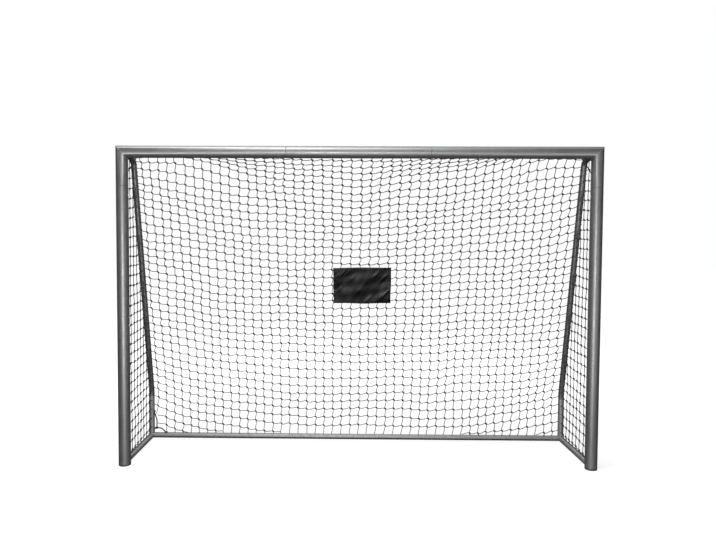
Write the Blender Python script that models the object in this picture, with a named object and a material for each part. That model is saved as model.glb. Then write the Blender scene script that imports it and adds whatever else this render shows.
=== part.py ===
"""A free-standing soccer goal of round steel tube with a hanging net.

Metres, +Z up. The mouth faces -Y, X runs along the crossbar, and the origin lies on the floor at the
middle of the goal's box. The main frame is a thick tube in seven lengths, joined by inner sleeves with
spring snap buttons. The rear frame is a thin tube, and the net hangs between the crossbar and the bar
on the floor.
"""

import math

import bmesh
import bpy
from mathutils import Vector

# Overall sizes
GOAL_WIDTH = 3.0
GOAL_HEIGHT = 2.0
GOAL_DEPTH = 0.56  # centre line of the posts to centre line of the rear bar
TOP_DEPTH = 0.21  # centre line of the crossbar to the upper bend of the braces

# Main tube and its joints
MAIN_RADIUS = 0.0375
MAIN_WALL = 0.002
CROSSBAR_MIDDLE_LENGTH = 0.89
CORNER_LEG_HEIGHT = 0.25  # top of the goal down to the upper post seam
LOWER_POST_HEIGHT = 0.94  # floor up to the lower post seam
SLEEVE_LENGTH = 0.2
SLEEVE_WALL = 0.002
CROSSBAR_BUTTON_OFFSET = 0.042  # seam to snap button
POST_BUTTON_OFFSET = 0.056

# Rear frame
SIDE_RADIUS = 0.019
SIDE_WALL = 0.0015
BRACE_TOP_DROP = 0.05  # top of the goal down to the centre line of the braces' upper ends
BRACE_KNEE_HEIGHT = 0.34
UPRIGHT_HEIGHT = 0.3  # floor to the seam between upright and brace
BRACE_TOP_BEND = 0.06
BRACE_KNEE_BEND = 0.1
REAR_MIDDLE_LENGTH = 0.9
SPIGOT_LENGTH = 0.1
SPIGOT_WALL = 0.002
SIDE_SLEEVE_LENGTH = 0.16

# Snap buttons and their leaf springs
BUTTON_RADIUS = 0.005
BUTTON_PROUD = 0.005
BUTTON_DOME = 0.0015
BUTTON_FLANGE_RADIUS = 0.007
BUTTON_FLANGE_THICKNESS = 0.0015
SPRING_LENGTH = 0.06
SPRING_WIDTH = 0.012
SPRING_THICKNESS = 0.0008
SPRING_RAMP_START = 0.028  # distance from the button where the leaf bends down to it
SPRING_RAMP_END = 0.014

# Foot caps
CAP_RIM_HEIGHT = 0.009
CAP_RIM_ROUNDING = 0.002
CAP_PLUG_DEPTH = 0.026
CAP_WALL = 0.003

# Net, cords, hooks and label
NET_COLUMNS = 15
NET_BAND_ROWS = (3, 3, 3, 3)
SIDE_NET_COLUMNS = 4
SIDE_NET_ROWS = 10
NET_STRAND_WIDTH = 0.007
NET_THICKNESS = 0.003
NET_SLOPE_AT_TOP = math.radians(58)  # slope of the net's middle where it leaves the crossbar
NET_SLOPE_AT_FLOOR = math.radians(84)
BORDER_CORD_RADIUS = 0.003
CORD_FOOT_HEIGHT = 0.06
CORD_CORNER_INSET = 0.09  # where the cord leaves the crossbar, inside the post's centre line
CORD_CORNER_DROP = 0.15
CORD_BEND_RADIUS = 0.09
TIE_CORD_RADIUS = 0.0035
TIE_KNOT_RADIUS = 0.0085
TIE_KNOT_HEIGHT = 0.075
TIE_TOP_HEIGHT = 0.19
TIE_REACH = 0.105  # corner's centre line to where the tie meets the rear bar
TIE_BEND = 0.02
HOOK_THICKNESS = 0.003
HOOK_WIDTH = 0.014
HOOK_BASE_REACH = 0.009
HOOK_TIP_REACH = 0.002
CROSSBAR_HOOK_COUNT = 5
CROSSBAR_HOOK_INSET = 0.26  # centre line of the posts to the outermost hooks
POST_HOOK_COUNT = 3
LOWEST_HOOK_HEIGHT = 0.25
HIGHEST_HOOK_DROP = 0.5  # top of the goal down to the highest post hooks
LABEL_WIDTH = 0.39
LABEL_HEIGHT = 0.24
LABEL_THICKNESS = 0.0012
LABEL_CENTRE_X = 0.036
LABEL_CENTRE_DOWN = 0.897  # along the net from the crossbar
LABEL_STANDOFF = 0.0015
LABEL_COLUMNS = 6
LABEL_ROWS = 4

# Clearances and smoothness
TOUCH_GAP = 0.0003  # between pieces that touch
SLIDING_GAP = 0.0003  # between a tube and what fits inside it
NET_GAP = 0.0005
MAIN_SIDES = 24
SIDE_SIDES = 16
BUTTON_SIDES = 16
CORD_SIDES = 8
BEND_STEPS = 5
CORD_BEND_STEPS = 4
NET_PROFILE_SAMPLES = 96
SHARP_ANGLE = math.radians(40)

# Places that follow from the sizes
FRONT_Y = -(GOAL_DEPTH + SIDE_RADIUS - MAIN_RADIUS) / 2
REAR_Y = FRONT_Y + GOAL_DEPTH
POST_X = GOAL_WIDTH / 2 - MAIN_RADIUS
BRACE_TOP_HEIGHT = GOAL_HEIGHT - BRACE_TOP_DROP
CROSSBAR_Z = GOAL_HEIGHT - MAIN_RADIUS
UPPER_SEAM_Z = GOAL_HEIGHT - CORNER_LEG_HEIGHT
MAIN_BORE = MAIN_RADIUS - MAIN_WALL
SIDE_BORE = SIDE_RADIUS - SIDE_WALL
SLEEVE_RADIUS = MAIN_BORE - SLIDING_GAP
SLEEVE_BORE = SLEEVE_RADIUS - SLEEVE_WALL
SPIGOT_RADIUS = SIDE_BORE - SLIDING_GAP
CORD_STANDOFF = TOUCH_GAP + HOOK_THICKNESS + TOUCH_GAP + BORDER_CORD_RADIUS
CORD_Y = FRONT_Y + MAIN_RADIUS + CORD_STANDOFF
NET_EDGE_OFFSET = BORDER_CORD_RADIUS + TOUCH_GAP + HOOK_THICKNESS + NET_GAP + NET_THICKNESS / 2
CORD_Z = BRACE_TOP_HEIGHT + NET_EDGE_OFFSET
NET_TOP_Y = CORD_Y + BORDER_CORD_RADIUS + NET_GAP + NET_THICKNESS / 2

ALONG_X = Vector((1, 0, 0))
ALONG_Y = Vector((0, 1, 0))
ALONG_Z = Vector((0, 0, 1))
SIDES = (("left", -1), ("right", 1))


def clear_scene():
    for obj in list(bpy.data.objects):
        bpy.data.objects.remove(obj, do_unlink=True)


def finish_material(name, colour, roughness, metallic):
    material = bpy.data.materials.new(name)
    material.use_nodes = True
    shader = material.node_tree.nodes["Principled BSDF"]
    shader.inputs["Base Color"].default_value = (*colour, 1)
    shader.inputs["Roughness"].default_value = roughness
    shader.inputs["Metallic"].default_value = metallic
    return material


def new_object(name, bm, look, smooth=True):
    """An object with the mesh of bm and a material of its own in the finish of look."""
    bmesh.ops.recalc_face_normals(bm, faces=bm.faces)
    mesh = bpy.data.meshes.new(name)
    bm.to_mesh(mesh)
    bm.free()
    if smooth:
        mesh.shade_smooth()
        mesh.set_sharp_from_angle(angle=SHARP_ANGLE)
    mesh.materials.append(finish_material(name, *look))
    obj = bpy.data.objects.new(name, mesh)
    bpy.context.scene.collection.objects.link(obj)
    return obj


MAIN_PAINT = ((0.27, 0.27, 0.28), 0.35, 0.6)
SIDE_PAINT = ((0.22, 0.22, 0.23), 0.4, 0.6)
ZINC = ((0.55, 0.56, 0.58), 0.4, 1.0)
BLACK_PLASTIC = ((0.03, 0.03, 0.03), 0.5, 0.0)
NET_TWINE = ((0.02, 0.02, 0.02), 0.8, 0.0)
LABEL_CLOTH = ((0.015, 0.015, 0.015), 0.6, 0.0)


def rounded_path(corners, bend_radii, steps=BEND_STEPS):
    """Straight legs through corners, with each inner corner rounded to its radius; 0 keeps it sharp."""
    points = [corners[0]]
    for before, corner, after, radius in zip(corners, corners[1:], corners[2:], bend_radii):
        if radius == 0:
            points.append(corner)
            continue
        to_before = (before - corner).normalized()
        to_after = (after - corner).normalized()
        half_angle = to_before.angle(to_after) / 2
        start = corner + to_before * (radius / math.tan(half_angle))
        centre = corner + (to_before + to_after).normalized() * (radius / math.sin(half_angle))
        spoke = start - centre
        tangent = -to_before
        turn = math.pi - 2 * half_angle
        for step in range(steps + 1):
            angle = turn * step / steps
            points.append(centre + spoke * math.cos(angle) + tangent * radius * math.sin(angle))
    points.append(corners[-1])
    return points


def circle(radius, sides):
    turns = [2 * math.pi * i / sides for i in range(sides)]
    return [(radius * math.cos(turn), radius * math.sin(turn)) for turn in turns]


def sweep(section, path, across):
    """Rings of a flat section carried along a flat path, mitred where it turns.

    The section's first coordinate lies along across, which is square to the whole path.
    """
    rings = []
    for i, point in enumerate(path):
        arriving = (path[max(i, 1)] - path[max(i, 1) - 1]).normalized()
        after = min(i, len(path) - 2)
        leaving = (path[after + 1] - path[after]).normalized()
        mitre = (arriving + leaving).normalized()
        sideways = across.cross(arriving)
        ring = []
        for along, beside in section:
            offset = across * along + sideways * beside
            ring.append(point + offset - arriving * (offset.dot(mitre) / arriving.dot(mitre)))
        rings.append(ring)
    return rings


def body_from_rings(rings, hollow=False):
    """Skins one ring to the next; a hollow body joins its last ring to its first, a solid one has caps."""
    bm = bmesh.new()
    loops = [[bm.verts.new(point) for point in ring] for ring in rings]
    pairs = list(zip(loops, loops[1:]))
    if hollow:
        pairs.append((loops[-1], loops[0]))
    else:
        bm.faces.new(loops[0])
        bm.faces.new(loops[-1])
    for first, second in pairs:
        for i in range(len(first)):
            j = (i + 1) % len(first)
            bm.faces.new((first[i], first[j], second[j], second[i]))
    return bm


def solid_rod(path, radius, sides, across):
    return body_from_rings(sweep(circle(radius, sides), path, across))


def tube(path, radius, wall, sides, across):
    outside = sweep(circle(radius, sides), path, across)
    inside = sweep(circle(radius - wall, sides), path, across)
    return body_from_rings(outside + inside[::-1], hollow=True)


def ribbon(path, width, thickness, across):
    half_width, half_thickness = width / 2, thickness / 2
    section = [
        (-half_width, -half_thickness),
        (half_width, -half_thickness),
        (half_width, half_thickness),
        (-half_width, half_thickness),
    ]
    return body_from_rings(sweep(section, path, across))


def turned(profile, sides, base, axis, across):
    """A turned body from (distance along the axis, radius) pairs."""
    beside = axis.cross(across)
    rings = []
    for distance, radius in profile:
        centre = base + axis * distance
        rings.append([centre + across * a + beside * b for a, b in circle(radius, sides)])
    return body_from_rings(rings)


def boolean(target, operation, bm, label):
    """Adds the body bm to target, or cuts it out, through a hidden helper object."""
    bmesh.ops.recalc_face_normals(bm, faces=bm.faces)
    mesh = bpy.data.meshes.new(f"{target.name}_{label}")
    bm.to_mesh(mesh)
    bm.free()
    helper = bpy.data.objects.new(mesh.name, mesh)
    helper.hide_render = True
    helper.display_type = "WIRE"
    bpy.context.scene.collection.objects.link(helper)
    modifier = target.modifiers.new(label, "BOOLEAN")
    modifier.operation = operation
    modifier.solver = "EXACT"
    modifier.object = helper


def button_hole(target, joint):
    """Cuts the round hole that a joint's snap button comes through."""
    start = joint["button"] + joint["outward"] * (SLEEVE_BORE / 2)
    end = joint["button"] + joint["outward"] * (MAIN_RADIUS + BUTTON_PROUD)
    cutter = solid_rod([start, end], BUTTON_RADIUS + SLIDING_GAP, BUTTON_SIDES, ALONG_Y)
    boolean(target, "DIFFERENCE", cutter, "button_hole")


def main_joints():
    """Each seam of the main frame: its place, which way its button lies, and which way the button faces."""
    joints = {}
    for side, sign in SIDES:
        places = (
            (f"crossbar_{side}", Vector((sign * CROSSBAR_MIDDLE_LENGTH / 2, FRONT_Y, CROSSBAR_Z)),
             ALONG_X * sign, CROSSBAR_BUTTON_OFFSET, -ALONG_Z),
            (f"upper_post_{side}", Vector((sign * POST_X, FRONT_Y, UPPER_SEAM_Z)),
             -ALONG_Z, POST_BUTTON_OFFSET, ALONG_X * -sign),
            (f"lower_post_{side}", Vector((sign * POST_X, FRONT_Y, LOWER_POST_HEIGHT)),
             -ALONG_Z, POST_BUTTON_OFFSET, ALONG_X * -sign),
        )
        for name, seam, along, offset, outward in places:
            joints[name] = {"seam": seam, "along": along, "button": seam + along * offset, "outward": outward}
    return joints


def brace_corners(sign):
    return [
        Vector((sign * POST_X, FRONT_Y, BRACE_TOP_HEIGHT)),
        Vector((sign * POST_X, FRONT_Y + TOP_DEPTH, BRACE_TOP_HEIGHT)),
        Vector((sign * POST_X, REAR_Y, BRACE_KNEE_HEIGHT)),
        Vector((sign * POST_X, REAR_Y, UPRIGHT_HEIGHT + TOUCH_GAP)),
    ]


def brace_path(sign):
    return rounded_path(brace_corners(sign), (BRACE_TOP_BEND, BRACE_KNEE_BEND))


def corner_path(sign):
    return [
        Vector((sign * (CROSSBAR_MIDDLE_LENGTH / 2 + TOUCH_GAP), FRONT_Y, CROSSBAR_Z)),
        Vector((sign * POST_X, FRONT_Y, CROSSBAR_Z)),
        Vector((sign * POST_X, FRONT_Y, UPPER_SEAM_Z)),
    ]


def side_frame_path(sign):
    return [
        Vector((sign * POST_X, FRONT_Y, SIDE_RADIUS)),
        Vector((sign * POST_X, REAR_Y, SIDE_RADIUS)),
        Vector((sign * POST_X, REAR_Y, UPRIGHT_HEIGHT)),
    ]


def weld_spigot(target, start, direction, across, host_radius):
    """Welds a hollow spigot onto a solid tube: the solid first, and its bore past the host's surface."""
    end = start + direction * (host_radius + SPIGOT_LENGTH)
    boolean(target, "UNION", solid_rod([start, end], SPIGOT_RADIUS, SIDE_SIDES, across), "spigot")
    mouth = end + direction * TOUCH_GAP
    floor = start + direction * (host_radius + SPIGOT_WALL)
    bore = solid_rod([floor, mouth], SPIGOT_RADIUS - SPIGOT_WALL, SIDE_SIDES, across)
    return lambda: boolean(target, "DIFFERENCE", bore, "spigot_bore")


def stretched(path, extra):
    """The same path, a little longer at both ends, for a bore that has to break through."""
    first = path[0] + (path[0] - path[1]).normalized() * extra
    last = path[-1] + (path[-1] - path[-2]).normalized() * extra
    return [first, *path[1:-1], last]


def corner(side, sign, joints):
    path = corner_path(sign)
    obj = new_object(f"corner_{side}", solid_rod(path, MAIN_RADIUS, MAIN_SIDES, ALONG_Y), MAIN_PAINT)
    root = Vector((sign * POST_X, FRONT_Y, BRACE_TOP_HEIGHT))
    cut_spigot_bore = weld_spigot(obj, root, ALONG_Y, ALONG_X, MAIN_RADIUS)
    bore = solid_rod(stretched(path, TOUCH_GAP), MAIN_BORE, MAIN_SIDES, ALONG_Y)
    boolean(obj, "DIFFERENCE", bore, "bore")
    cut_spigot_bore()
    button_hole(obj, joints[f"crossbar_{side}"])


def crossbar_middle():
    half = CROSSBAR_MIDDLE_LENGTH / 2
    path = [Vector((-half, FRONT_Y, CROSSBAR_Z)), Vector((half, FRONT_Y, CROSSBAR_Z))]
    new_object("crossbar_middle", tube(path, MAIN_RADIUS, MAIN_WALL, MAIN_SIDES, ALONG_Y), MAIN_PAINT)


def post_middle(side, sign, joints):
    path = [
        Vector((sign * POST_X, FRONT_Y, LOWER_POST_HEIGHT)),
        Vector((sign * POST_X, FRONT_Y, UPPER_SEAM_Z - TOUCH_GAP)),
    ]
    bm = tube(path, MAIN_RADIUS, MAIN_WALL, MAIN_SIDES, ALONG_Y)
    obj = new_object(f"post_middle_{side}", bm, MAIN_PAINT)
    button_hole(obj, joints[f"upper_post_{side}"])


def post_lower(side, sign, joints):
    foot = Vector((sign * POST_X, FRONT_Y, 0))
    path = [foot + ALONG_Z * (CAP_RIM_HEIGHT + TOUCH_GAP), foot + ALONG_Z * (LOWER_POST_HEIGHT - TOUCH_GAP)]
    obj = new_object(f"post_lower_{side}", solid_rod(path, MAIN_RADIUS, MAIN_SIDES, ALONG_Y), MAIN_PAINT)
    root = foot + ALONG_Z * SIDE_RADIUS
    cut_spigot_bore = weld_spigot(obj, root, ALONG_Y, ALONG_X, MAIN_RADIUS)
    boolean(obj, "DIFFERENCE", solid_rod(stretched(path, TOUCH_GAP), MAIN_BORE, MAIN_SIDES, ALONG_Y), "bore")
    rim_room = [foot - ALONG_Z * CAP_RIM_HEIGHT, path[0]]
    relief = solid_rod(rim_room, MAIN_RADIUS + TOUCH_GAP, MAIN_SIDES, ALONG_Y)
    boolean(obj, "DIFFERENCE", relief, "rim_relief")
    cut_spigot_bore()
    button_hole(obj, joints[f"lower_post_{side}"])


def foot_cap(side, sign):
    """A moulded plug: a rim as wide as the tube, and a hollow stem inside it."""
    stem = MAIN_BORE - SLIDING_GAP
    top = CAP_RIM_HEIGHT + CAP_PLUG_DEPTH
    profile = [
        (0, MAIN_RADIUS - CAP_RIM_ROUNDING),
        (CAP_RIM_ROUNDING, MAIN_RADIUS),
        (CAP_RIM_HEIGHT, MAIN_RADIUS),
        (CAP_RIM_HEIGHT, stem),
        (top, stem),
        (top, stem - CAP_WALL),
        (CAP_RIM_HEIGHT, stem - CAP_WALL),
    ]
    base = Vector((sign * POST_X, FRONT_Y, 0))
    new_object(f"foot_cap_{side}", turned(profile, MAIN_SIDES, base, ALONG_Z, ALONG_Y), BLACK_PLASTIC)


def joint_sleeve(name, joint):
    half = joint["along"] * (SLEEVE_LENGTH / 2)
    path = [joint["seam"] - half, joint["seam"] + half]
    bm = tube(path, SLEEVE_RADIUS, SLEEVE_WALL, MAIN_SIDES, ALONG_Y)
    obj = new_object(f"joint_sleeve_{name}", bm, ZINC)
    button_hole(obj, joint)


def seat_in_sleeve(half_width):
    """How far from the tube's centre line a flat piece of this half width can sit in the faceted sleeve."""
    return math.sqrt(SLEEVE_BORE**2 - half_width**2) * math.cos(math.pi / MAIN_SIDES) - TOUCH_GAP


def snap_button(name, joint):
    """A domed pin with a flange that keeps it in the sleeve. It travels against outward."""
    seat = seat_in_sleeve(BUTTON_FLANGE_RADIUS)
    tip = MAIN_RADIUS + BUTTON_PROUD
    profile = [
        (seat - BUTTON_FLANGE_THICKNESS, BUTTON_FLANGE_RADIUS),
        (seat, BUTTON_FLANGE_RADIUS),
        (seat, BUTTON_RADIUS),
        (tip - BUTTON_DOME, BUTTON_RADIUS),
        (tip, BUTTON_RADIUS - BUTTON_DOME),
    ]
    bm = turned(profile, BUTTON_SIDES, Vector((0, 0, 0)), joint["outward"], ALONG_Y)
    obj = new_object(f"snap_button_{name}", bm, ZINC)
    obj.location = joint["button"]


def leaf_spring(name, joint):
    """A spring steel strip: one end lies on the sleeve's wall, the other under the button's flange."""
    on_wall = seat_in_sleeve(SPRING_WIDTH / 2) - SPRING_THICKNESS / 2
    under_button = (
        seat_in_sleeve(BUTTON_FLANGE_RADIUS) - BUTTON_FLANGE_THICKNESS - TOUCH_GAP - SPRING_THICKNESS / 2
    )
    stations = (
        (-SPRING_LENGTH, on_wall),
        (-SPRING_RAMP_START, on_wall),
        (-SPRING_RAMP_END, under_button),
        (BUTTON_FLANGE_RADIUS, under_button),
    )
    path = [joint["button"] + joint["along"] * reach + joint["outward"] * rise for reach, rise in stations]
    across = joint["along"].cross(joint["outward"])
    bm = ribbon(path, SPRING_WIDTH, SPRING_THICKNESS, across)
    new_object(f"leaf_spring_{name}", bm, ZINC, smooth=False)


def side_frame(side, sign):
    """Side bar and rear upright, mitred and welded, with the spigot that carries the rear bar."""
    path = side_frame_path(sign)
    obj = new_object(f"side_frame_{side}", solid_rod(path, SIDE_RADIUS, SIDE_SIDES, ALONG_X), SIDE_PAINT)
    cut_spigot_bore = weld_spigot(obj, path[1], ALONG_X * -sign, ALONG_Y, SIDE_RADIUS)
    boolean(obj, "DIFFERENCE", solid_rod(stretched(path, TOUCH_GAP), SIDE_BORE, SIDE_SIDES, ALONG_X), "bore")
    cut_spigot_bore()
    post = [Vector((sign * POST_X, FRONT_Y, -MAIN_RADIUS)), Vector((sign * POST_X, FRONT_Y, 2 * MAIN_RADIUS))]
    cope = solid_rod(post, MAIN_RADIUS + TOUCH_GAP, MAIN_SIDES, ALONG_Y)
    boolean(obj, "DIFFERENCE", cope, "cope")


def brace(side, sign):
    bm = tube(brace_path(sign), SIDE_RADIUS, SIDE_WALL, SIDE_SIDES, ALONG_X)
    obj = new_object(f"brace_{side}", bm, SIDE_PAINT)
    cope = solid_rod(corner_path(sign), MAIN_RADIUS + TOUCH_GAP, MAIN_SIDES, ALONG_Y)
    boolean(obj, "DIFFERENCE", cope, "cope")


def brace_sleeve(side, sign):
    seam = Vector((sign * POST_X, REAR_Y, UPRIGHT_HEIGHT))
    down = UPRIGHT_HEIGHT - (SIDE_SLEEVE_LENGTH / 2)
    top = min(UPRIGHT_HEIGHT + SIDE_SLEEVE_LENGTH / 2, brace_path(sign)[-2].z - TOUCH_GAP)
    path = [Vector((seam.x, seam.y, down)), Vector((seam.x, seam.y, top))]
    new_object(f"brace_sleeve_{side}", tube(path, SPIGOT_RADIUS, SPIGOT_WALL, SIDE_SIDES, ALONG_X), ZINC)


def rear_bar_middle():
    half = REAR_MIDDLE_LENGTH / 2
    path = [Vector((-half, REAR_Y, SIDE_RADIUS)), Vector((half, REAR_Y, SIDE_RADIUS))]
    new_object("rear_bar_middle", tube(path, SIDE_RADIUS, SIDE_WALL, SIDE_SIDES, ALONG_Y), SIDE_PAINT)


def rear_bar_end(side, sign):
    path = [
        Vector((sign * (REAR_MIDDLE_LENGTH / 2 + TOUCH_GAP), REAR_Y, SIDE_RADIUS)),
        Vector((sign * POST_X, REAR_Y, SIDE_RADIUS)),
    ]
    bm = tube(path, SIDE_RADIUS, SIDE_WALL, SIDE_SIDES, ALONG_Y)
    obj = new_object(f"rear_bar_{side}", bm, SIDE_PAINT)
    cope = solid_rod(side_frame_path(sign), SIDE_RADIUS + TOUCH_GAP, SIDE_SIDES, ALONG_X)
    boolean(obj, "DIFFERENCE", cope, "cope")


def rear_bar_sleeve(side, sign):
    centre = sign * REAR_MIDDLE_LENGTH / 2
    half = SIDE_SLEEVE_LENGTH / 2
    path = [Vector((centre - half, REAR_Y, SIDE_RADIUS)), Vector((centre + half, REAR_Y, SIDE_RADIUS))]
    bm = tube(path, SPIGOT_RADIUS, SPIGOT_WALL, SIDE_SIDES, ALONG_Y)
    new_object(f"rear_bar_sleeve_{side}", bm, ZINC)


def even_points(points, count):
    """count + 1 points at equal steps along a line of points."""
    lengths = [0.0]
    for first, second in zip(points, points[1:]):
        lengths.append(lengths[-1] + (second - first).length)
    spread = []
    piece = 0
    for i in range(count + 1):
        wanted = lengths[-1] * i / count
        while piece < len(points) - 2 and lengths[piece + 1] < wanted:
            piece += 1
        share = (wanted - lengths[piece]) / (lengths[piece + 1] - lengths[piece])
        spread.append(points[piece].lerp(points[piece + 1], min(share, 1.0)))
    return spread


def net_side_profile():
    """The line that the net follows along a brace, from the crossbar down to the top of the rear bar."""
    centre_line = brace_path(0)
    floor_end = Vector((0, REAR_Y, 2 * SIDE_RADIUS + NET_GAP))
    top = Vector((0, NET_TOP_Y, BRACE_TOP_HEIGHT))
    return even_points([top, *centre_line[1:-1], floor_end], NET_PROFILE_SAMPLES)


def net_middle_profile():
    """The line of the net's middle: one hanging curve with a set slope at each end."""
    top = Vector((0, NET_TOP_Y, BRACE_TOP_HEIGHT))
    floor_end = net_side_profile()[-1]
    drop = top.z - floor_end.z
    back = floor_end.y - top.y
    steep = math.tan(NET_SLOPE_AT_FLOOR)
    shallow = math.tan(NET_SLOPE_AT_TOP)
    reach = (back * steep - drop) / (steep - shallow)
    middle = top + Vector((0, reach, -reach * shallow))
    curve = []
    for i in range(NET_PROFILE_SAMPLES + 1):
        t = i / NET_PROFILE_SAMPLES
        curve.append(top * (1 - t) ** 2 + middle * (2 * t * (1 - t)) + floor_end * t**2)
    return even_points(curve, NET_PROFILE_SAMPLES)


NET_SIDE_PROFILE = net_side_profile()
NET_MIDDLE_PROFILE = net_middle_profile()
NET_EDGE_X = POST_X - SIDE_RADIUS - NET_GAP
NET_LENGTH = NET_PROFILE_SAMPLES * (NET_MIDDLE_PROFILE[1] - NET_MIDDLE_PROFILE[0]).length


def net_point(across, down):
    """The net's surface: across runs from -1 to 1 between the braces, down from 0 to 1."""
    place = down * NET_PROFILE_SAMPLES
    index = min(int(place), NET_PROFILE_SAMPLES - 1)
    share = place - index
    at_side = NET_SIDE_PROFILE[index].lerp(NET_SIDE_PROFILE[index + 1], share)
    at_middle = NET_MIDDLE_PROFILE[index].lerp(NET_MIDDLE_PROFILE[index + 1], share)
    point = at_middle.lerp(at_side, across**2)
    point.x = across * NET_EDGE_X
    return point


def net_grid(name, points):
    """A net of flat strands: each cell of the grid of points becomes a hole with a strand round it."""
    bm = bmesh.new()
    rows = [[bm.verts.new(point) for point in row] for row in points]
    for upper, lower in zip(rows, rows[1:]):
        for i in range(len(upper) - 1):
            bm.faces.new((upper[i], upper[i + 1], lower[i + 1], lower[i]))
    bm.normal_update()
    rims = bmesh.ops.inset_individual(bm, faces=bm.faces[:], thickness=NET_STRAND_WIDTH / 2)["faces"]
    holes = [face for face in bm.faces if face not in set(rims)]
    bmesh.ops.delete(bm, geom=holes, context="FACES_ONLY")
    obj = new_object(name, bm, NET_TWINE, smooth=False)
    solidify = obj.modifiers.new("thickness", "SOLIDIFY")
    solidify.thickness = NET_THICKNESS
    solidify.offset = 0


def back_net():
    """The back of the net in bands, one below the other, that touch along a strand."""
    total = sum(NET_BAND_ROWS)
    first = 0
    for band, rows in enumerate(NET_BAND_ROWS):
        upper_gap = NET_GAP / NET_LENGTH if band else 0
        points = []
        for row in range(first, first + rows + 1):
            down = row / total + (upper_gap if row == first else 0)
            steps = range(-NET_COLUMNS, NET_COLUMNS + 1, 2)
            points.append([net_point(step / NET_COLUMNS, down) for step in steps])
        net_grid(f"back_net_{band + 1}", points)
        first += rows


def side_net(side, sign):
    """The net between post, side bar and brace, in the plane of their centre lines."""
    clear = SIDE_RADIUS + NET_GAP
    inner_line = [ring[0] for ring in sweep([(0, -clear)], brace_path(sign), ALONG_X)]
    inner_line.append(Vector((sign * POST_X, REAR_Y - clear, 0)))
    front = CORD_Y + NET_EDGE_OFFSET - NET_THICKNESS / 2
    top = BRACE_TOP_HEIGHT - clear
    bottom = 2 * SIDE_RADIUS + NET_GAP
    points = []
    for row in range(SIDE_NET_ROWS + 1):
        height = top + (bottom - top) * row / SIDE_NET_ROWS
        piece = 0
        while piece < len(inner_line) - 2 and inner_line[piece + 1].z > height - TOUCH_GAP:
            piece += 1
        upper, lower = inner_line[piece], inner_line[piece + 1]
        share = min(max((upper.z - height) / (upper.z - lower.z), 0.0), 1.0)
        back = upper.y + (lower.y - upper.y) * share
        shares = [column / SIDE_NET_COLUMNS for column in range(SIDE_NET_COLUMNS + 1)]
        points.append([Vector((sign * POST_X, front + (back - front) * s, height)) for s in shares])
    net_grid(f"side_net_{side}", points)


def border_cord():
    """The cord that edges the net, behind the crossbar and down behind both posts, in one length."""
    corners = []
    for sign in (-1, 1):
        run = [
            Vector((sign * POST_X, CORD_Y, CORD_FOOT_HEIGHT)),
            Vector((sign * POST_X, CORD_Y, CORD_Z - CORD_CORNER_DROP)),
            Vector((sign * (POST_X - CORD_CORNER_INSET), CORD_Y, CORD_Z)),
        ]
        corners += run if sign < 0 else run[::-1]
    path = rounded_path(corners, [CORD_BEND_RADIUS] * (len(corners) - 2), CORD_BEND_STEPS)
    new_object("border_cord", solid_rod(path, BORDER_CORD_RADIUS, CORD_SIDES, ALONG_Y), NET_TWINE)


def tie_cord():
    """The net's tie at the left rear corner: from the upright to a knot, then on to the rear bar.

    It lies in front of the net, and touches the upright and the bar beside their centre lines.
    """
    in_front = NET_THICKNESS / 2 + NET_GAP + TIE_KNOT_RADIUS
    beside_tube = math.sqrt((SIDE_RADIUS + TOUCH_GAP + TIE_CORD_RADIUS) ** 2 - in_front**2)
    corner_point = Vector((-POST_X, REAR_Y - in_front, 0))
    knot = corner_point + Vector((2 * SIDE_RADIUS, 0, TIE_KNOT_HEIGHT))
    upper_end = corner_point + Vector((beside_tube, 0, TIE_TOP_HEIGHT))
    bar_end = corner_point + Vector((TIE_REACH, 0, SIDE_RADIUS + beside_tube))
    above_knot = Vector((knot.x, knot.y, (TIE_TOP_HEIGHT + TIE_KNOT_HEIGHT) / 2))
    past_knot = Vector(((knot.x + bar_end.x) / 2, knot.y, knot.z - TIE_CORD_RADIUS))
    run = [upper_end, above_knot, knot, past_knot, bar_end]
    path = rounded_path(run, (TIE_BEND, 0, TIE_BEND), CORD_BEND_STEPS)
    obj = new_object("tie_cord", solid_rod(path, TIE_CORD_RADIUS, CORD_SIDES, ALONG_Y), NET_TWINE)
    tail = [corner_point + Vector((beside_tube, 0, TIE_KNOT_HEIGHT - TIE_KNOT_RADIUS)), knot]
    boolean(obj, "UNION", solid_rod(tail, TIE_CORD_RADIUS, CORD_SIDES, ALONG_Y), "tail")
    half = TIE_KNOT_RADIUS / 2
    bead = [(-TIE_KNOT_RADIUS, half), (-half, TIE_KNOT_RADIUS), (half, TIE_KNOT_RADIUS), (TIE_KNOT_RADIUS, half)]
    boolean(obj, "UNION", turned(bead, CORD_SIDES, knot, ALONG_Z, ALONG_Y), "knot")


def net_hook(name, seat, side, along):
    """A J-shaped plastic hook: seat is on the tube's back, side points away from the hook's arm."""
    base = TOUCH_GAP + HOOK_THICKNESS / 2
    arm = BORDER_CORD_RADIUS + TOUCH_GAP + HOOK_THICKNESS / 2
    reach = CORD_STANDOFF + arm
    stations = ((base, HOOK_BASE_REACH), (base, -arm), (reach, -arm), (reach, HOOK_TIP_REACH))
    path = [seat + ALONG_Y * out + side * up for out, up in stations]
    new_object(name, ribbon(path, HOOK_WIDTH, HOOK_THICKNESS, along), BLACK_PLASTIC, smooth=False)


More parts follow.
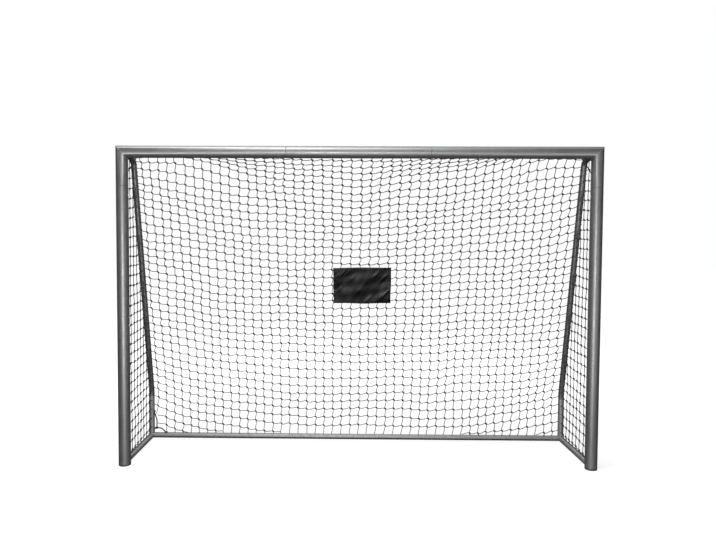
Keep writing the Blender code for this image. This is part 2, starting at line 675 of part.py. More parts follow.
def net_hooks():
    back = FRONT_Y + MAIN_RADIUS
    outermost = POST_X - CROSSBAR_HOOK_INSET
    for i in range(CROSSBAR_HOOK_COUNT):
        x = outermost * (2 * i / (CROSSBAR_HOOK_COUNT - 1) - 1)
        net_hook(f"crossbar_hook_{i + 1}", Vector((x, back, CORD_Z)), ALONG_Z, ALONG_X)
    climb = (GOAL_HEIGHT - HIGHEST_HOOK_DROP - LOWEST_HOOK_HEIGHT) / (POST_HOOK_COUNT - 1)
    for side, sign in SIDES:
        for i in range(POST_HOOK_COUNT):
            seat = Vector((sign * POST_X, back, LOWEST_HOOK_HEIGHT + climb * i))
            net_hook(f"post_hook_{side}_{i + 1}", seat, ALONG_X * sign, ALONG_Z)


def label():
    """The cloth label in front of the back net, curved as the net is."""
    stand_off = NET_THICKNESS / 2 + LABEL_STANDOFF + LABEL_THICKNESS / 2
    bm = bmesh.new()
    grid = []
    for row in range(LABEL_ROWS + 1):
        down = (LABEL_CENTRE_DOWN + LABEL_HEIGHT * (row / LABEL_ROWS - 0.5)) / NET_LENGTH
        line = []
        for column in range(LABEL_COLUMNS + 1):
            across = (LABEL_CENTRE_X + LABEL_WIDTH * (column / LABEL_COLUMNS - 0.5)) / NET_EDGE_X
            point = net_point(across, down)
            slope = net_point(across, down + LABEL_HEIGHT / NET_LENGTH) - point
            inward = Vector((0, slope.z, -slope.y)).normalized()
            line.append(bm.verts.new(point + inward * stand_off))
        grid.append(line)
    for upper, lower in zip(grid, grid[1:]):
        for i in range(LABEL_COLUMNS):
            bm.faces.new((upper[i], upper[i + 1], lower[i + 1], lower[i]))
    obj = new_object("label", bm, LABEL_CLOTH, smooth=False)
    solidify = obj.modifiers.new("thickness", "SOLIDIFY")
    solidify.thickness = LABEL_THICKNESS
    solidify.offset = 0


def build_goal():
    clear_scene()
    joints = main_joints()
    crossbar_middle()
    rear_bar_middle()
    for side, sign in SIDES:
        corner(side, sign, joints)
        post_middle(side, sign, joints)
        post_lower(side, sign, joints)
        foot_cap(side, sign)
        side_frame(side, sign)
        brace(side, sign)
        brace_sleeve(side, sign)
        rear_bar_end(side, sign)
        rear_bar_sleeve(side, sign)
        side_net(side, sign)
    for name, joint in joints.items():
        joint_sleeve(name, joint)
        snap_button(name, joint)
        leaf_spring(name, joint)
    back_net()
    border_cord()
    tie_cord()
    net_hooks()
    label()


build_goal()
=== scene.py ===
"""Looks of a free-standing soccer goal: painted steel tube, hanging knotted net, cords and cloth label."""

import math

import bmesh
import bpy
import numpy as np
from mathutils import Matrix, Vector


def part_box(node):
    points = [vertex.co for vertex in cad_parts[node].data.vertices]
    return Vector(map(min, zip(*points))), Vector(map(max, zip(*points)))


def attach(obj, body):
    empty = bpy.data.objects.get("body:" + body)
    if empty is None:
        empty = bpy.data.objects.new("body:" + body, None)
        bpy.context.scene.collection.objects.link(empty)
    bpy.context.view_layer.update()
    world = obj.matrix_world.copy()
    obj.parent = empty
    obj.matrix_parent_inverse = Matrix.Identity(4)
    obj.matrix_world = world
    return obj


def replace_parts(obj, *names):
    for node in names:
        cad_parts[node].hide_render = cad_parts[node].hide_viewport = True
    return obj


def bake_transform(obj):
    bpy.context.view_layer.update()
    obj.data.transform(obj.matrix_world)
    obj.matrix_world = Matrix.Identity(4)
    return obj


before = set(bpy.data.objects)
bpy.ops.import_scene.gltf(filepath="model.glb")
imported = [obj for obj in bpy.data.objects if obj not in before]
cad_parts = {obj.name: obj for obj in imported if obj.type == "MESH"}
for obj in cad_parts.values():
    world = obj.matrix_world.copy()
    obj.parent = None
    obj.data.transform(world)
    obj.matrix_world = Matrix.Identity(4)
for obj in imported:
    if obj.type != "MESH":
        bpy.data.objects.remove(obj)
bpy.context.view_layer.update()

# The studio: a white paper floor and backdrop under an overhead softbox, a small front light below and
# behind the camera, a low light near the floor, fills from the side and from behind, and black velvet
# round the goal, out of view, whose reflections keep the tubes' edges dark.
PICTURE_WIDTH_PX, AXIS_X_PX, FOCAL_PX = 716, 336.8, 625.8
SENSOR_MM = 36.0
CAMERA_PLACE = Vector((-0.0788, -4.1467, 1.4037))
CAMERA_YAW, CAMERA_PITCH, CAMERA_ROLL = math.radians(-0.767), math.radians(-2.452), math.radians(0.259)


def in_scene(name, data):
    obj = bpy.data.objects.new(name, data)
    bpy.context.scene.collection.objects.link(obj)
    return obj


def make_camera():
    data = bpy.data.cameras.new("camera")
    data.sensor_width = SENSOR_MM
    data.lens = FOCAL_PX / PICTURE_WIDTH_PX * SENSOR_MM
    data.shift_x = (PICTURE_WIDTH_PX / 2 - AXIS_X_PX) / PICTURE_WIDTH_PX
    camera = in_scene("camera", data)
    turn = Matrix.Rotation(-CAMERA_YAW, 3, "Z") @ Matrix.Rotation(math.pi / 2 + CAMERA_PITCH, 3, "X")
    turn = turn @ Matrix.Rotation(CAMERA_ROLL, 3, "Z")
    camera.matrix_world = Matrix.Translation(CAMERA_PLACE) @ turn.to_4x4()
    bpy.context.scene.camera = camera


def soft_light(name, place, target, width, height, power):
    data = bpy.data.lights.new(name, "AREA")
    data.shape = "RECTANGLE"
    data.size, data.size_y = width, height
    data.energy = power
    lamp = in_scene(name, data)
    facing = (Vector(target) - Vector(place)).to_track_quat("-Z", "Y")
    lamp.matrix_world = Matrix.Translation(place) @ facing.to_matrix().to_4x4()
    lamp.visible_camera = False


def seen_rays(tree):
    """1 for what the camera, a reflection or a look through glass sees, 0 for light that falls on things."""
    light_path = tree.nodes.new("ShaderNodeLightPath")
    either = tree.nodes.new("ShaderNodeMath")
    either.operation = "MAXIMUM"
    tree.links.new(light_path.outputs["Is Camera Ray"], either.inputs[0])
    tree.links.new(light_path.outputs["Is Glossy Ray"], either.inputs[1])
    seen = tree.nodes.new("ShaderNodeMath")
    seen.operation = "MAXIMUM"
    tree.links.new(either.outputs[0], seen.inputs[0])
    tree.links.new(light_path.outputs["Is Transmission Ray"], seen.inputs[1])
    return seen.outputs[0]


def make_world(ambient):
    world = bpy.data.worlds.new("studio")
    bpy.context.scene.world = world
    world.use_nodes = True
    tree = world.node_tree
    white = tree.nodes["Background"]
    white.inputs["Color"].default_value = (1, 1, 1, 1)
    dim = tree.nodes.new("ShaderNodeBackground")
    dim.inputs["Color"].default_value = (1, 1, 1, 1)
    dim.inputs["Strength"].default_value = ambient
    mix = tree.nodes.new("ShaderNodeMixShader")
    tree.links.new(seen_rays(tree), mix.inputs["Fac"])
    tree.links.new(dim.outputs[0], mix.inputs[1])
    tree.links.new(white.outputs[0], mix.inputs[2])
    tree.links.new(mix.outputs[0], tree.nodes["World Output"].inputs["Surface"])


def stage_plane(name, corners):
    mesh = bpy.data.meshes.new(name)
    mesh.from_pydata(corners, [], [(0, 1, 2, 3)])
    plane = in_scene(name, mesh)
    return plane


def make_floor(half, grey, lift, near, far):
    """Pale paper that the lights bring near white; lift takes it to white and leaves the goal's soft shadow.

    From near to far metres away from the goal the paper blends into the white backdrop.
    """
    floor = stage_plane("floor", [(-half, -half, 0), (half, -half, 0), (half, half, 0), (-half, half, 0)])
    paper = bpy.data.materials.new("floor_paper")
    paper.use_nodes = True
    tree = paper.node_tree
    shader = tree.nodes["Principled BSDF"]
    shader.inputs["Base Color"].default_value = (grey, grey, grey, 1)
    shader.inputs["Roughness"].default_value = 0.95
    shader.inputs["Specular IOR Level"].default_value = 0.0
    glow = tree.nodes.new("ShaderNodeEmission")
    strength = tree.nodes.new("ShaderNodeMath")
    strength.operation = "MULTIPLY"
    distance = tree.nodes.new("ShaderNodeVectorMath")
    distance.operation = "LENGTH"
    tree.links.new(tree.nodes.new("ShaderNodeTexCoord").outputs["Object"], distance.inputs[0])
    fade = tree.nodes.new("ShaderNodeMapRange")
    fade.interpolation_type = "SMOOTHSTEP"
    tree.links.new(distance.outputs["Value"], fade.inputs["Value"])
    for label, value in (("From Min", near), ("From Max", far), ("To Min", lift), ("To Max", 1.0)):
        fade.inputs[label].default_value = value
    tree.links.new(fade.outputs["Result"], strength.inputs[1])
    tree.links.new(seen_rays(tree), strength.inputs[0])
    tree.links.new(strength.outputs[0], glow.inputs["Strength"])
    add = tree.nodes.new("ShaderNodeAddShader")
    tree.links.new(shader.outputs[0], add.inputs[0])
    tree.links.new(glow.outputs[0], add.inputs[1])
    tree.links.new(add.outputs[0], tree.nodes["Material Output"].inputs["Surface"])
    floor.data.materials.append(paper)


def make_flag(name, corners):
    """A sheet of black velvet round the goal, out of the picture, that reflections and bounced light meet."""
    flag = stage_plane(name, corners)
    velvet = bpy.data.materials.new(name + "_velvet")
    velvet.use_nodes = True
    shader = velvet.node_tree.nodes["Principled BSDF"]
    shader.inputs["Base Color"].default_value = (0.01, 0.01, 0.01, 1)
    shader.inputs["Roughness"].default_value = 1.0
    shader.inputs["Specular IOR Level"].default_value = 0.0
    flag.data.materials.append(velvet)
    flag.visible_camera = flag.visible_transmission = flag.visible_shadow = False


make_camera()
make_world(ambient=0.1)
make_floor(half=30, grey=0.35, lift=0.8, near=1.2, far=3.0)
FLAG_X, FLAG_FRONT_Y, FLAG_BACK_Y, FLAG_TOP_Z = 3, -6.5, 7, 5
FLAG_FLOOR_FRONT_Y, FLAG_FLOOR_Z = -2.5, 0.004
NEAR_LEFT, NEAR_RIGHT = (-FLAG_X, FLAG_FRONT_Y), (FLAG_X, FLAG_FRONT_Y)
FAR_LEFT, FAR_RIGHT = (-FLAG_X, FLAG_BACK_Y), (FLAG_X, FLAG_BACK_Y)
for place, first, second in (("left", NEAR_LEFT, FAR_LEFT), ("right", NEAR_RIGHT, FAR_RIGHT),
                             ("back", FAR_LEFT, FAR_RIGHT), ("front", NEAR_LEFT, NEAR_RIGHT)):
    make_flag(f"flag_{place}", [(*first, 0), (*second, 0), (*second, FLAG_TOP_Z), (*first, FLAG_TOP_Z)])
make_flag("flag_floor", [(x, y, FLAG_FLOOR_Z) for x, y in (
    (-FLAG_X, FLAG_FLOOR_FRONT_Y), (FLAG_X, FLAG_FLOOR_FRONT_Y), FAR_RIGHT, FAR_LEFT)])
soft_light("overhead_light", (-1.3, -1.8, 6.0), (-0.4, -0.1, 1.4), width=3.4, height=2.8, power=320)
soft_light("front_light", (-0.3, -4.7, 0.85), (-0.2, 0, 0.8), width=0.8, height=1.3, power=132)
soft_light("low_light", (-0.1, -2.2, 0.12), (-0.1, 0, 0.3), width=1.2, height=0.3, power=5)
soft_light("side_fill", (2.7, -2.6, 0.9), (-0.3, 0, 0.6), width=1.6, height=1.6, power=13)
soft_light("back_fill", (0.6, 5.2, 3.6), (0, 0, 1), width=3.0, height=1.6, power=90)
bpy.context.scene.view_settings.view_transform = "Standard"

# The crossbar's corners: a leg of the crossbar and a leg of the post in 75 mm steel tube, mitred at 45
# degrees and welded, with a welded spigot at the back that carries the brace. Powder coated dark grey.
SIDES = (("left", -1), ("right", 1))
ALONG_X, ALONG_Y, ALONG_Z = Vector((1, 0, 0)), Vector((0, 1, 0)), Vector((0, 0, 1))
FRONT_Y, POST_X, CROSSBAR_Z = -0.27075, 1.4625, 1.9625
CROSSBAR_SEAM_X, UPPER_SEAM_Z = 0.445, 1.75
MAIN_RADIUS, MAIN_WALL, MAIN_SIDES = 0.0375, 0.002, 64
SIDE_RADIUS, SIDE_WALL, SIDE_SIDES = 0.019, 0.0015, 48
BRACE_TOP_Z = 1.95
SPIGOT_WALL, SPIGOT_LENGTH = 0.002, 0.1
BRACE_SPIGOT_ROOT = 0.02  # behind the main tube's centre line, inside its bore
WELD_DEPTH = 0.0002  # how far a bead's centre lies under the tube's surface
BUTTON_RADIUS = 0.005
CROSSBAR_BUTTON_X = CROSSBAR_SEAM_X + 0.042
HOLE_MARGIN = 0.012  # rings this far beside a button hole keep its effect on the shading small
HOLE_SIDES = 24
GAP = 0.0003


def circle(radius, sides):
    return [(radius * math.cos(2 * math.pi * i / sides), radius * math.sin(2 * math.pi * i / sides))
            for i in range(sides)]


def rounded_path(corners, bend_radii, steps=14):
    """Straight legs through corners, with each inner corner rounded to its radius; 0 keeps it sharp."""
    points = [Vector(corners[0])]
    for before, corner, after, radius in zip(corners, corners[1:], corners[2:], bend_radii):
        before, corner, after = Vector(before), Vector(corner), Vector(after)
        if radius == 0:
            points.append(corner)
            continue
        to_before, to_after = (before - corner).normalized(), (after - corner).normalized()
        half_angle = to_before.angle(to_after) / 2
        start = corner + to_before * (radius / math.tan(half_angle))
        centre = corner + (to_before + to_after).normalized() * (radius / math.sin(half_angle))
        spoke = start - centre
        for step in range(steps + 1):
            angle = (math.pi - 2 * half_angle) * step / steps
            points.append(centre + spoke * math.cos(angle) - to_before * radius * math.sin(angle))
    points.append(Vector(corners[-1]))
    return points


def sweep(section, path, across):
    """Rings of a flat section along a flat path; its first coordinate lies along across."""
    rings = []
    for i, point in enumerate(path):
        arriving = (path[max(i, 1)] - path[max(i, 1) - 1]).normalized()
        after = min(i, len(path) - 2)
        mitre = (arriving + (path[after + 1] - path[after]).normalized()).normalized()
        sideways = across.cross(arriving)
        ring = []
        for along, beside in section:
            offset = across * along + sideways * beside
            ring.append(point + offset - arriving * (offset.dot(mitre) / arriving.dot(mitre)))
        rings.append(ring)
    return rings


def skin(rings, hollow=False):
    """A closed body from rings of points: capped at both ends or, if hollow, joined end to end."""
    bm = bmesh.new()
    loops = [[bm.verts.new(point) for point in ring] for ring in rings]
    pairs = list(zip(loops, loops[1:]))
    if hollow:
        pairs.append((loops[-1], loops[0]))
    else:
        bm.faces.new(loops[0])
        bm.faces.new(loops[-1])
    for first, second in pairs:
        for i in range(len(first)):
            j = (i + 1) % len(first)
            bm.faces.new((first[i], first[j], second[j], second[i]))
    bmesh.ops.recalc_face_normals(bm, faces=bm.faces)
    return bm


def tube(path, radius, wall, sides, across):
    """A hollow tube along a path, with its outer edges broken at both ends."""
    edge = 0.9 * wall
    first = (path[1] - path[0]).normalized() * edge
    last = (path[-2] - path[-1]).normalized() * edge
    inset = [path[0] + first, *path[1:-1], path[-1] + last]
    outside = sweep(circle(radius, sides), inset, across)
    inside = sweep(circle(radius - wall, sides), path, across)
    lip = sweep(circle(radius - edge, sides), path, across)
    return skin([lip[0], *outside, lip[-1], *inside[::-1]], hollow=True)


def main_tube(path):
    return tube(path, MAIN_RADIUS, MAIN_WALL, MAIN_SIDES, ALONG_Y)


def mesh_of(name, bm):
    mesh = bpy.data.meshes.new(name)
    bm.to_mesh(mesh)
    bm.free()
    return mesh


def shade(mesh, smooth_angle):
    """Smooth shading that stays sharp at edges steeper than smooth_angle degrees."""
    mesh.shade_smooth()
    mesh.set_sharp_from_angle(angle=math.radians(smooth_angle))


def finished(name, mesh, material, body, smooth_angle):
    """A piece of the object: its mesh, its finish and the body it rides on.

    body is None for a piece that rides on no body.
    """
    shade(mesh, smooth_angle)
    mesh.materials.append(material)
    obj = in_scene(name, mesh)
    if body:
        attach(obj, body)
    return obj


def piece(name, bm, material, body="frame", smooth_angle=38):
    return finished(name, mesh_of(name, bm), material, body, smooth_angle)


def carve(obj, cutter_bm):
    """Cuts the body cutter_bm out of a piece."""
    cutter = in_scene("cutter", mesh_of("cutter", cutter_bm))
    modifier = obj.modifiers.new("cut", "BOOLEAN")
    modifier.operation, modifier.solver, modifier.object = "DIFFERENCE", "EXACT", cutter
    graph = bpy.context.evaluated_depsgraph_get()
    cut = bpy.data.meshes.new_from_object(obj.evaluated_get(graph))
    obj.modifiers.clear()
    obj.data = cut
    shade(cut, 38)
    bpy.data.objects.remove(cutter)


def button_hole(obj, centre, outward):
    """The round hole that a snap button comes through, cut from inside the bore to outside the wall."""
    start, end = centre + outward * 0.02, centre + outward * 0.05
    carve(obj, skin(sweep(circle(BUTTON_RADIUS + GAP, HOLE_SIDES), [start, end], ALONG_Y)))


def spigot(name, start, end, across, material):
    """A welded length of thinner tube that the next tube is pushed over."""
    bm = tube([Vector(start), Vector(end)], SIDE_RADIUS - SIDE_WALL - GAP, SPIGOT_WALL, SIDE_SIDES, across)
    piece(name, bm, material)


def weld_bead(name, path, tube_radius, tube_sides, across, radius, ripples, material):
    """A closed bead of weld round the mitre at a path's first corner, rippled as the torch leaves it."""
    ring = sweep(circle(tube_radius - WELD_DEPTH, tube_sides * 2), path, across)[1]
    count = len(ring)
    middle = sum(ring, Vector()) / count
    rings = []
    for i, point in enumerate(ring):
        forward = (ring[(i + 1) % count] - ring[i - 1]).normalized()
        outward = (point - middle).normalized()
        beside = forward.cross(outward).normalized()
        outward = beside.cross(forward)
        swell = radius * (1 + 0.12 * math.sin(2 * math.pi * ripples * i / count))
        rings.append([point + outward * a * 0.7 + beside * b for a, b in circle(swell, 8)])
    return piece(name, skin(rings, hollow=True), material, smooth_angle=60)


def new_group(name, inputs, outputs):
    """A shader node group with named inputs and outputs; returns it and its two end nodes."""
    group = bpy.data.node_groups.new(name, "ShaderNodeTree")
    for label, kind, value in inputs:
        socket = group.interface.new_socket(name=label, in_out="INPUT", socket_type=kind)
        if value is not None:
            socket.default_value = value
    for label, kind in outputs:
        group.interface.new_socket(name=label, in_out="OUTPUT", socket_type=kind)
    return group, group.nodes.new("NodeGroupInput"), group.nodes.new("NodeGroupOutput")


def math_node(tree, operation, first, second=None, third=None):
    node = tree.nodes.new("ShaderNodeMath")
    node.operation = operation
    for socket, value in zip(node.inputs, (first, second, third)):
        if value is None:
            continue
        if isinstance(value, (int, float)):
            socket.default_value = value
        else:
            tree.links.new(value, socket)
    return node.outputs[0]


def noise_node(tree, coordinates, scale, detail=2.0, roughness=0.5):
    node = tree.nodes.new("ShaderNodeTexNoise")
    tree.links.new(coordinates, node.inputs["Vector"])
    if isinstance(scale, (int, float)):
        node.inputs["Scale"].default_value = scale
    else:
        tree.links.new(scale, node.inputs["Scale"])
    node.inputs["Detail"].default_value = detail
    node.inputs["Roughness"].default_value = roughness
    return node.outputs["Fac"]


def ramp_value(tree, value, low, high, to_low, to_high):
    node = tree.nodes.new("ShaderNodeMapRange")
    node.interpolation_type = "SMOOTHSTEP"
    tree.links.new(value, node.inputs["Value"])
    for label, number in (("From Min", low), ("From Max", high), ("To Min", to_low), ("To Max", to_high)):
        if isinstance(number, (int, float)):
            node.inputs[label].default_value = number
        else:
            tree.links.new(number, node.inputs[label])
    return node.outputs["Result"]


def surface_wear_and_shade_group():
    """Handling marks: a soft mottle, fine grain and scratches, dust low down, and a painted contact shade
    where a tube lies on the ground.
    """
    group, given, out = new_group(
        "surface_wear_and_shade",
        (("Vector", "NodeSocketVector", None), ("Mottle Scale", "NodeSocketFloat", 9.0),
         ("Grain Scale", "NodeSocketFloat", 900.0), ("Scratches", "NodeSocketFloat", 0.5)),
        (("Mottle", "NodeSocketFloat"), ("Scratch", "NodeSocketFloat"), ("Dust", "NodeSocketFloat"),
         ("Grain", "NodeSocketFloat"), ("Ground Shade", "NodeSocketFloat")),
    )
    place = given.outputs["Vector"]
    mottle = noise_node(group, place, given.outputs["Mottle Scale"], 4.0, 0.6)
    group.links.new(mottle, out.inputs["Mottle"])
    group.links.new(noise_node(group, place, given.outputs["Grain Scale"], 1.0), out.inputs["Grain"])
    stretch = group.nodes.new("ShaderNodeMapping")
    stretch.inputs["Scale"].default_value = (40, 40, 260)
    stretch.inputs["Rotation"].default_value = (0.4, 0.7, 0.2)
    group.links.new(place, stretch.inputs["Vector"])
    lines = ramp_value(group, noise_node(group, stretch.outputs[0], 1.0, 3.0), 0.68, 0.78, 0.0, 1.0)
    patches = ramp_value(group, noise_node(group, place, 3.0, 2.0), 0.5, 0.7, 0.0, 1.0)
    scratch = math_node(group, "MULTIPLY", lines, patches)
    group.links.new(math_node(group, "MULTIPLY", scratch, given.outputs["Scratches"]), out.inputs["Scratch"])
    split = group.nodes.new("ShaderNodeSeparateXYZ")
    group.links.new(place, split.inputs[0])
    low = ramp_value(group, split.outputs["Z"], 0.0, 0.35, 1.0, 0.0)
    specks = ramp_value(group, noise_node(group, place, 45.0, 5.0), 0.4, 0.7, 0.1, 1.0)
    group.links.new(math_node(group, "MULTIPLY", low, specks), out.inputs["Dust"])
    # The last output is painted contact shade: 1 within about a centimetre of the ground, 0 from about 25 mm
    # up, with a ragged edge.
    ragged_shade_height = math_node(group, "MULTIPLY_ADD", noise_node(group, place, 60.0, 3.0), 0.006, split.outputs["Z"])
    group.links.new(ramp_value(group, ragged_shade_height, 0.009, 0.023, 1.0, 0.0), out.inputs["Ground Shade"])
    return group


SURFACE_WEAR_AND_SHADE = surface_wear_and_shade_group()


def object_place(tree):
    return tree.nodes.new("ShaderNodeTexCoord").outputs["Object"]


def mix_colours(tree, factor, first, second):
    node = tree.nodes.new("ShaderNodeMix")
    node.data_type = "RGBA"
    tree.links.new(factor, node.inputs["Factor"])
    for label, value in (("A", first), ("B", second)):
        socket = next(s for s in node.inputs if s.name == label and s.type == "RGBA")
        if isinstance(value, tuple):
            socket.default_value = (*value, 1)
        else:
            tree.links.new(value, socket)
    return next(s for s in node.outputs if s.type == "RGBA")


def bump(tree, shader, height, strength, distance):
    node = tree.nodes.new("ShaderNodeBump")
    node.inputs["Strength"].default_value = strength
    node.inputs["Distance"].default_value = distance
    tree.links.new(height, node.inputs["Height"])
    tree.links.new(node.outputs["Normal"], shader.inputs["Normal"])


def placed_group(tree, group, coordinates, values):
    """Places a shader node group in a material with its own values, and returns its outputs."""
    node = tree.nodes.new("ShaderNodeGroup")
    node.node_tree = group
    tree.links.new(coordinates, node.inputs["Vector"])
    for label, value in values.items():
        node.inputs[label].default_value = value
    return node.outputs


def new_material(name):
    material = bpy.data.materials.new(name)
    material.use_nodes = True
    return material, material.node_tree, material.node_tree.nodes["Principled BSDF"]


def powder_coat(name, dark, light, roughness, metallic, ground_shade=0.0):
    """Semi-gloss powder coat on steel: fine orange peel, a faint mottle, hairline scratches and dust, and
    where asked for a painted near-black shade where the tube lies on the ground.
    """
    scratch_grey, dust_colour, ground_shade_colour = (0.3, 0.3, 0.3), (0.32, 0.3, 0.27), (0.012, 0.012, 0.011)
    material, tree, shader = new_material(name)
    wear_and_shade = placed_group(tree, SURFACE_WEAR_AND_SHADE, object_place(tree),
                        {"Mottle Scale": 14.0, "Grain Scale": 1500.0, "Scratches": 0.35})
    colour = mix_colours(tree, wear_and_shade["Mottle"], dark, light)
    colour = mix_colours(tree, wear_and_shade["Scratch"], colour, scratch_grey)
    colour = mix_colours(tree, math_node(tree, "MULTIPLY", wear_and_shade["Dust"], 0.12), colour, dust_colour)
    # Painted shade: a near-black band where the tube lies on the ground, standing in for the contact shadow.
    if ground_shade:
        colour = mix_colours(tree, math_node(tree, "MULTIPLY", wear_and_shade["Ground Shade"], ground_shade), colour, ground_shade_colour)
    tree.links.new(colour, shader.inputs["Base Color"])
    rough = ramp_value(tree, wear_and_shade["Mottle"], 0.3, 0.7, roughness - 0.04, roughness + 0.05)
    rough = math_node(tree, "ADD", rough, math_node(tree, "MULTIPLY", wear_and_shade["Dust"], 0.15))
    tree.links.new(rough, shader.inputs["Roughness"])
    shader.inputs["Metallic"].default_value = metallic
    bump(tree, shader, wear_and_shade["Grain"], 0.06, 0.0004)
    return material


MAIN_PAINT = powder_coat("main_powder_coat", (0.19, 0.19, 0.193), (0.23, 0.231, 0.233), 0.44, 0.65)

for side, sign in SIDES:
    seam, mitre, foot = (Vector((sign * x, FRONT_Y, z)) for x, z in (
        (CROSSBAR_SEAM_X + GAP, CROSSBAR_Z), (POST_X, CROSSBAR_Z), (POST_X, UPPER_SEAM_Z)))
    beside_hole = [Vector((sign * (CROSSBAR_BUTTON_X + step), FRONT_Y, CROSSBAR_Z))
                   for step in (-HOLE_MARGIN, HOLE_MARGIN)]
    bm = main_tube([seam, *beside_hole, mitre, foot])
    corner = piece(f"crossbar_corner_{side}", bm, MAIN_PAINT)
    button_hole(corner, Vector((sign * CROSSBAR_BUTTON_X, FRONT_Y, CROSSBAR_Z)), -ALONG_Z)
    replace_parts(corner, f"corner_{side}")
    weld_bead(f"corner_weld_{side}", [seam, mitre, foot], MAIN_RADIUS, MAIN_SIDES, ALONG_Y,
              radius=0.0011, ripples=60, material=MAIN_PAINT)
    spigot(f"brace_spigot_{side}", (sign * POST_X, FRONT_Y + BRACE_SPIGOT_ROOT, BRACE_TOP_Z),
           (sign * POST_X, FRONT_Y + MAIN_RADIUS + SPIGOT_LENGTH, BRACE_TOP_Z), ALONG_X, MAIN_PAINT)

# The middle tube of the crossbar: a plain length of the same 75 mm steel tube, powder coated like the
# corners and pushed onto a sleeve at each end.
bm = main_tube([Vector((x, FRONT_Y, CROSSBAR_Z)) for x in (-CROSSBAR_SEAM_X, CROSSBAR_SEAM_X)])
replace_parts(piece("crossbar_tube", bm, MAIN_PAINT), "crossbar_middle")

# The posts: a middle and a lower length of the same tube on each side. The lower one has a welded spigot
# at the back, just above the ground, that carries the side bar.
LOWER_SEAM_Z = 0.94
UPPER_BUTTON_Z, LOWER_BUTTON_Z = UPPER_SEAM_Z - 0.056, LOWER_SEAM_Z - 0.056
SIDE_SPIGOT_ROOT = 0.03
CAP_RIM = 0.009
for side, sign in SIDES:
    for place, low, high, button_z in (("middle", LOWER_SEAM_Z, UPPER_SEAM_Z - GAP, UPPER_BUTTON_Z),
                                       ("lower", CAP_RIM + GAP, LOWER_SEAM_Z - GAP, LOWER_BUTTON_Z)):
        heights = (low, button_z - HOLE_MARGIN, button_z + HOLE_MARGIN, high)
        bm = main_tube([Vector((sign * POST_X, FRONT_Y, z)) for z in heights])
        post = piece(f"post_tube_{place}_{side}", bm, MAIN_PAINT)
        button_hole(post, Vector((sign * POST_X, FRONT_Y, button_z)), ALONG_X * -sign)
        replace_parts(post, f"post_{place}_{side}")
    spigot(f"side_bar_spigot_{side}", (sign * POST_X, FRONT_Y + SIDE_SPIGOT_ROOT, SIDE_RADIUS),
           (sign * POST_X, FRONT_Y + MAIN_RADIUS + SPIGOT_LENGTH, SIDE_RADIUS), ALONG_X, MAIN_PAINT)

# The foot caps: black plugs, moulded in plastic, with a hollow stem that is pressed into the post and a
# rounded rim as wide as the tube, on which the goal stands.
CAP_STEM, CAP_STEM_END, CAP_WALL = MAIN_RADIUS - MAIN_WALL - GAP, 0.035, 0.003
CAP_EDGE = 0.0008


def turned(profile, sides, base, axis, across):
    """A turned body from (distance along the axis, radius) pairs."""
    beside = axis.cross(across)
    rings = []
    for distance, radius in profile:
        centre = base + axis * distance
        rings.append([centre + across * a + beside * b for a, b in circle(radius, sides)])
    return skin(rings)


def moulded_plastic(name, colour, worn, grain_scale):
    """Moulded plastic with a fine sparked grain and paler rubbed places."""
    dust_colour = (0.25, 0.235, 0.21)
    material, tree, shader = new_material(name)
    wear_and_shade = placed_group(tree, SURFACE_WEAR_AND_SHADE, object_place(tree),
                        {"Mottle Scale": 60.0, "Grain Scale": grain_scale, "Scratches": 0.8})
    colour = mix_colours(tree, ramp_value(tree, wear_and_shade["Mottle"], 0.45, 0.8, 0.0, 0.6), colour, worn)
    colour = mix_colours(tree, math_node(tree, "MULTIPLY", wear_and_shade["Dust"], 0.18), colour, dust_colour)
    tree.links.new(colour, shader.inputs["Base Color"])
    tree.links.new(ramp_value(tree, wear_and_shade["Mottle"], 0.3, 0.7, 0.42, 0.6), shader.inputs["Roughness"])
    bump(tree, shader, wear_and_shade["Grain"], 0.25, 0.0002)
    return material


CAP_PLASTIC = moulded_plastic("cap_plastic", (0.05, 0.05, 0.052), (0.12, 0.12, 0.12), 2600.0)
for side, sign in SIDES:
    profile = [(0.0, MAIN_RADIUS - 0.0026), (0.0005, MAIN_RADIUS - 0.0012), (0.0014, MAIN_RADIUS - 0.0004),
               (0.0026, MAIN_RADIUS), (CAP_RIM - CAP_EDGE, MAIN_RADIUS), (CAP_RIM, MAIN_RADIUS - CAP_EDGE),
               (CAP_RIM, CAP_STEM), (CAP_STEM_END, CAP_STEM), (CAP_STEM_END, CAP_STEM - CAP_WALL),
               (CAP_RIM, CAP_STEM - CAP_WALL)]
    bm = turned(profile, MAIN_SIDES, Vector((sign * POST_X, FRONT_Y, 0)), ALONG_Z, ALONG_Y)
    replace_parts(piece(f"foot_plug_{side}", bm, CAP_PLASTIC), f"foot_cap_{side}")

# The joint sleeves inside the main frame, the brace sleeves and the rear bar sleeves: drawn steel tube,
# zinc plated, pressed into one tube of each joint. They are hidden while the goal stands.


def drawn_steel_group():
    """Lengthways drawing marks and the spangle of plating."""
    group, given, out = new_group(
        "drawn_steel",
        (("Vector", "NodeSocketVector", None), ("Spangle Scale", "NodeSocketFloat", 180.0)),
        (("Lines", "NodeSocketFloat"), ("Spangle", "NodeSocketFloat")),
    )
    place = given.outputs["Vector"]
    lines = noise_node(group, place, 700.0, 2.0, 0.7)
    group.links.new(lines, out.inputs["Lines"])
    cells = group.nodes.new("ShaderNodeTexVoronoi")
    group.links.new(place, cells.inputs["Vector"])
    group.links.new(given.outputs["Spangle Scale"], cells.inputs["Scale"])
    group.links.new(cells.outputs["Distance"], out.inputs["Spangle"])
    return group


DRAWN_STEEL = drawn_steel_group()


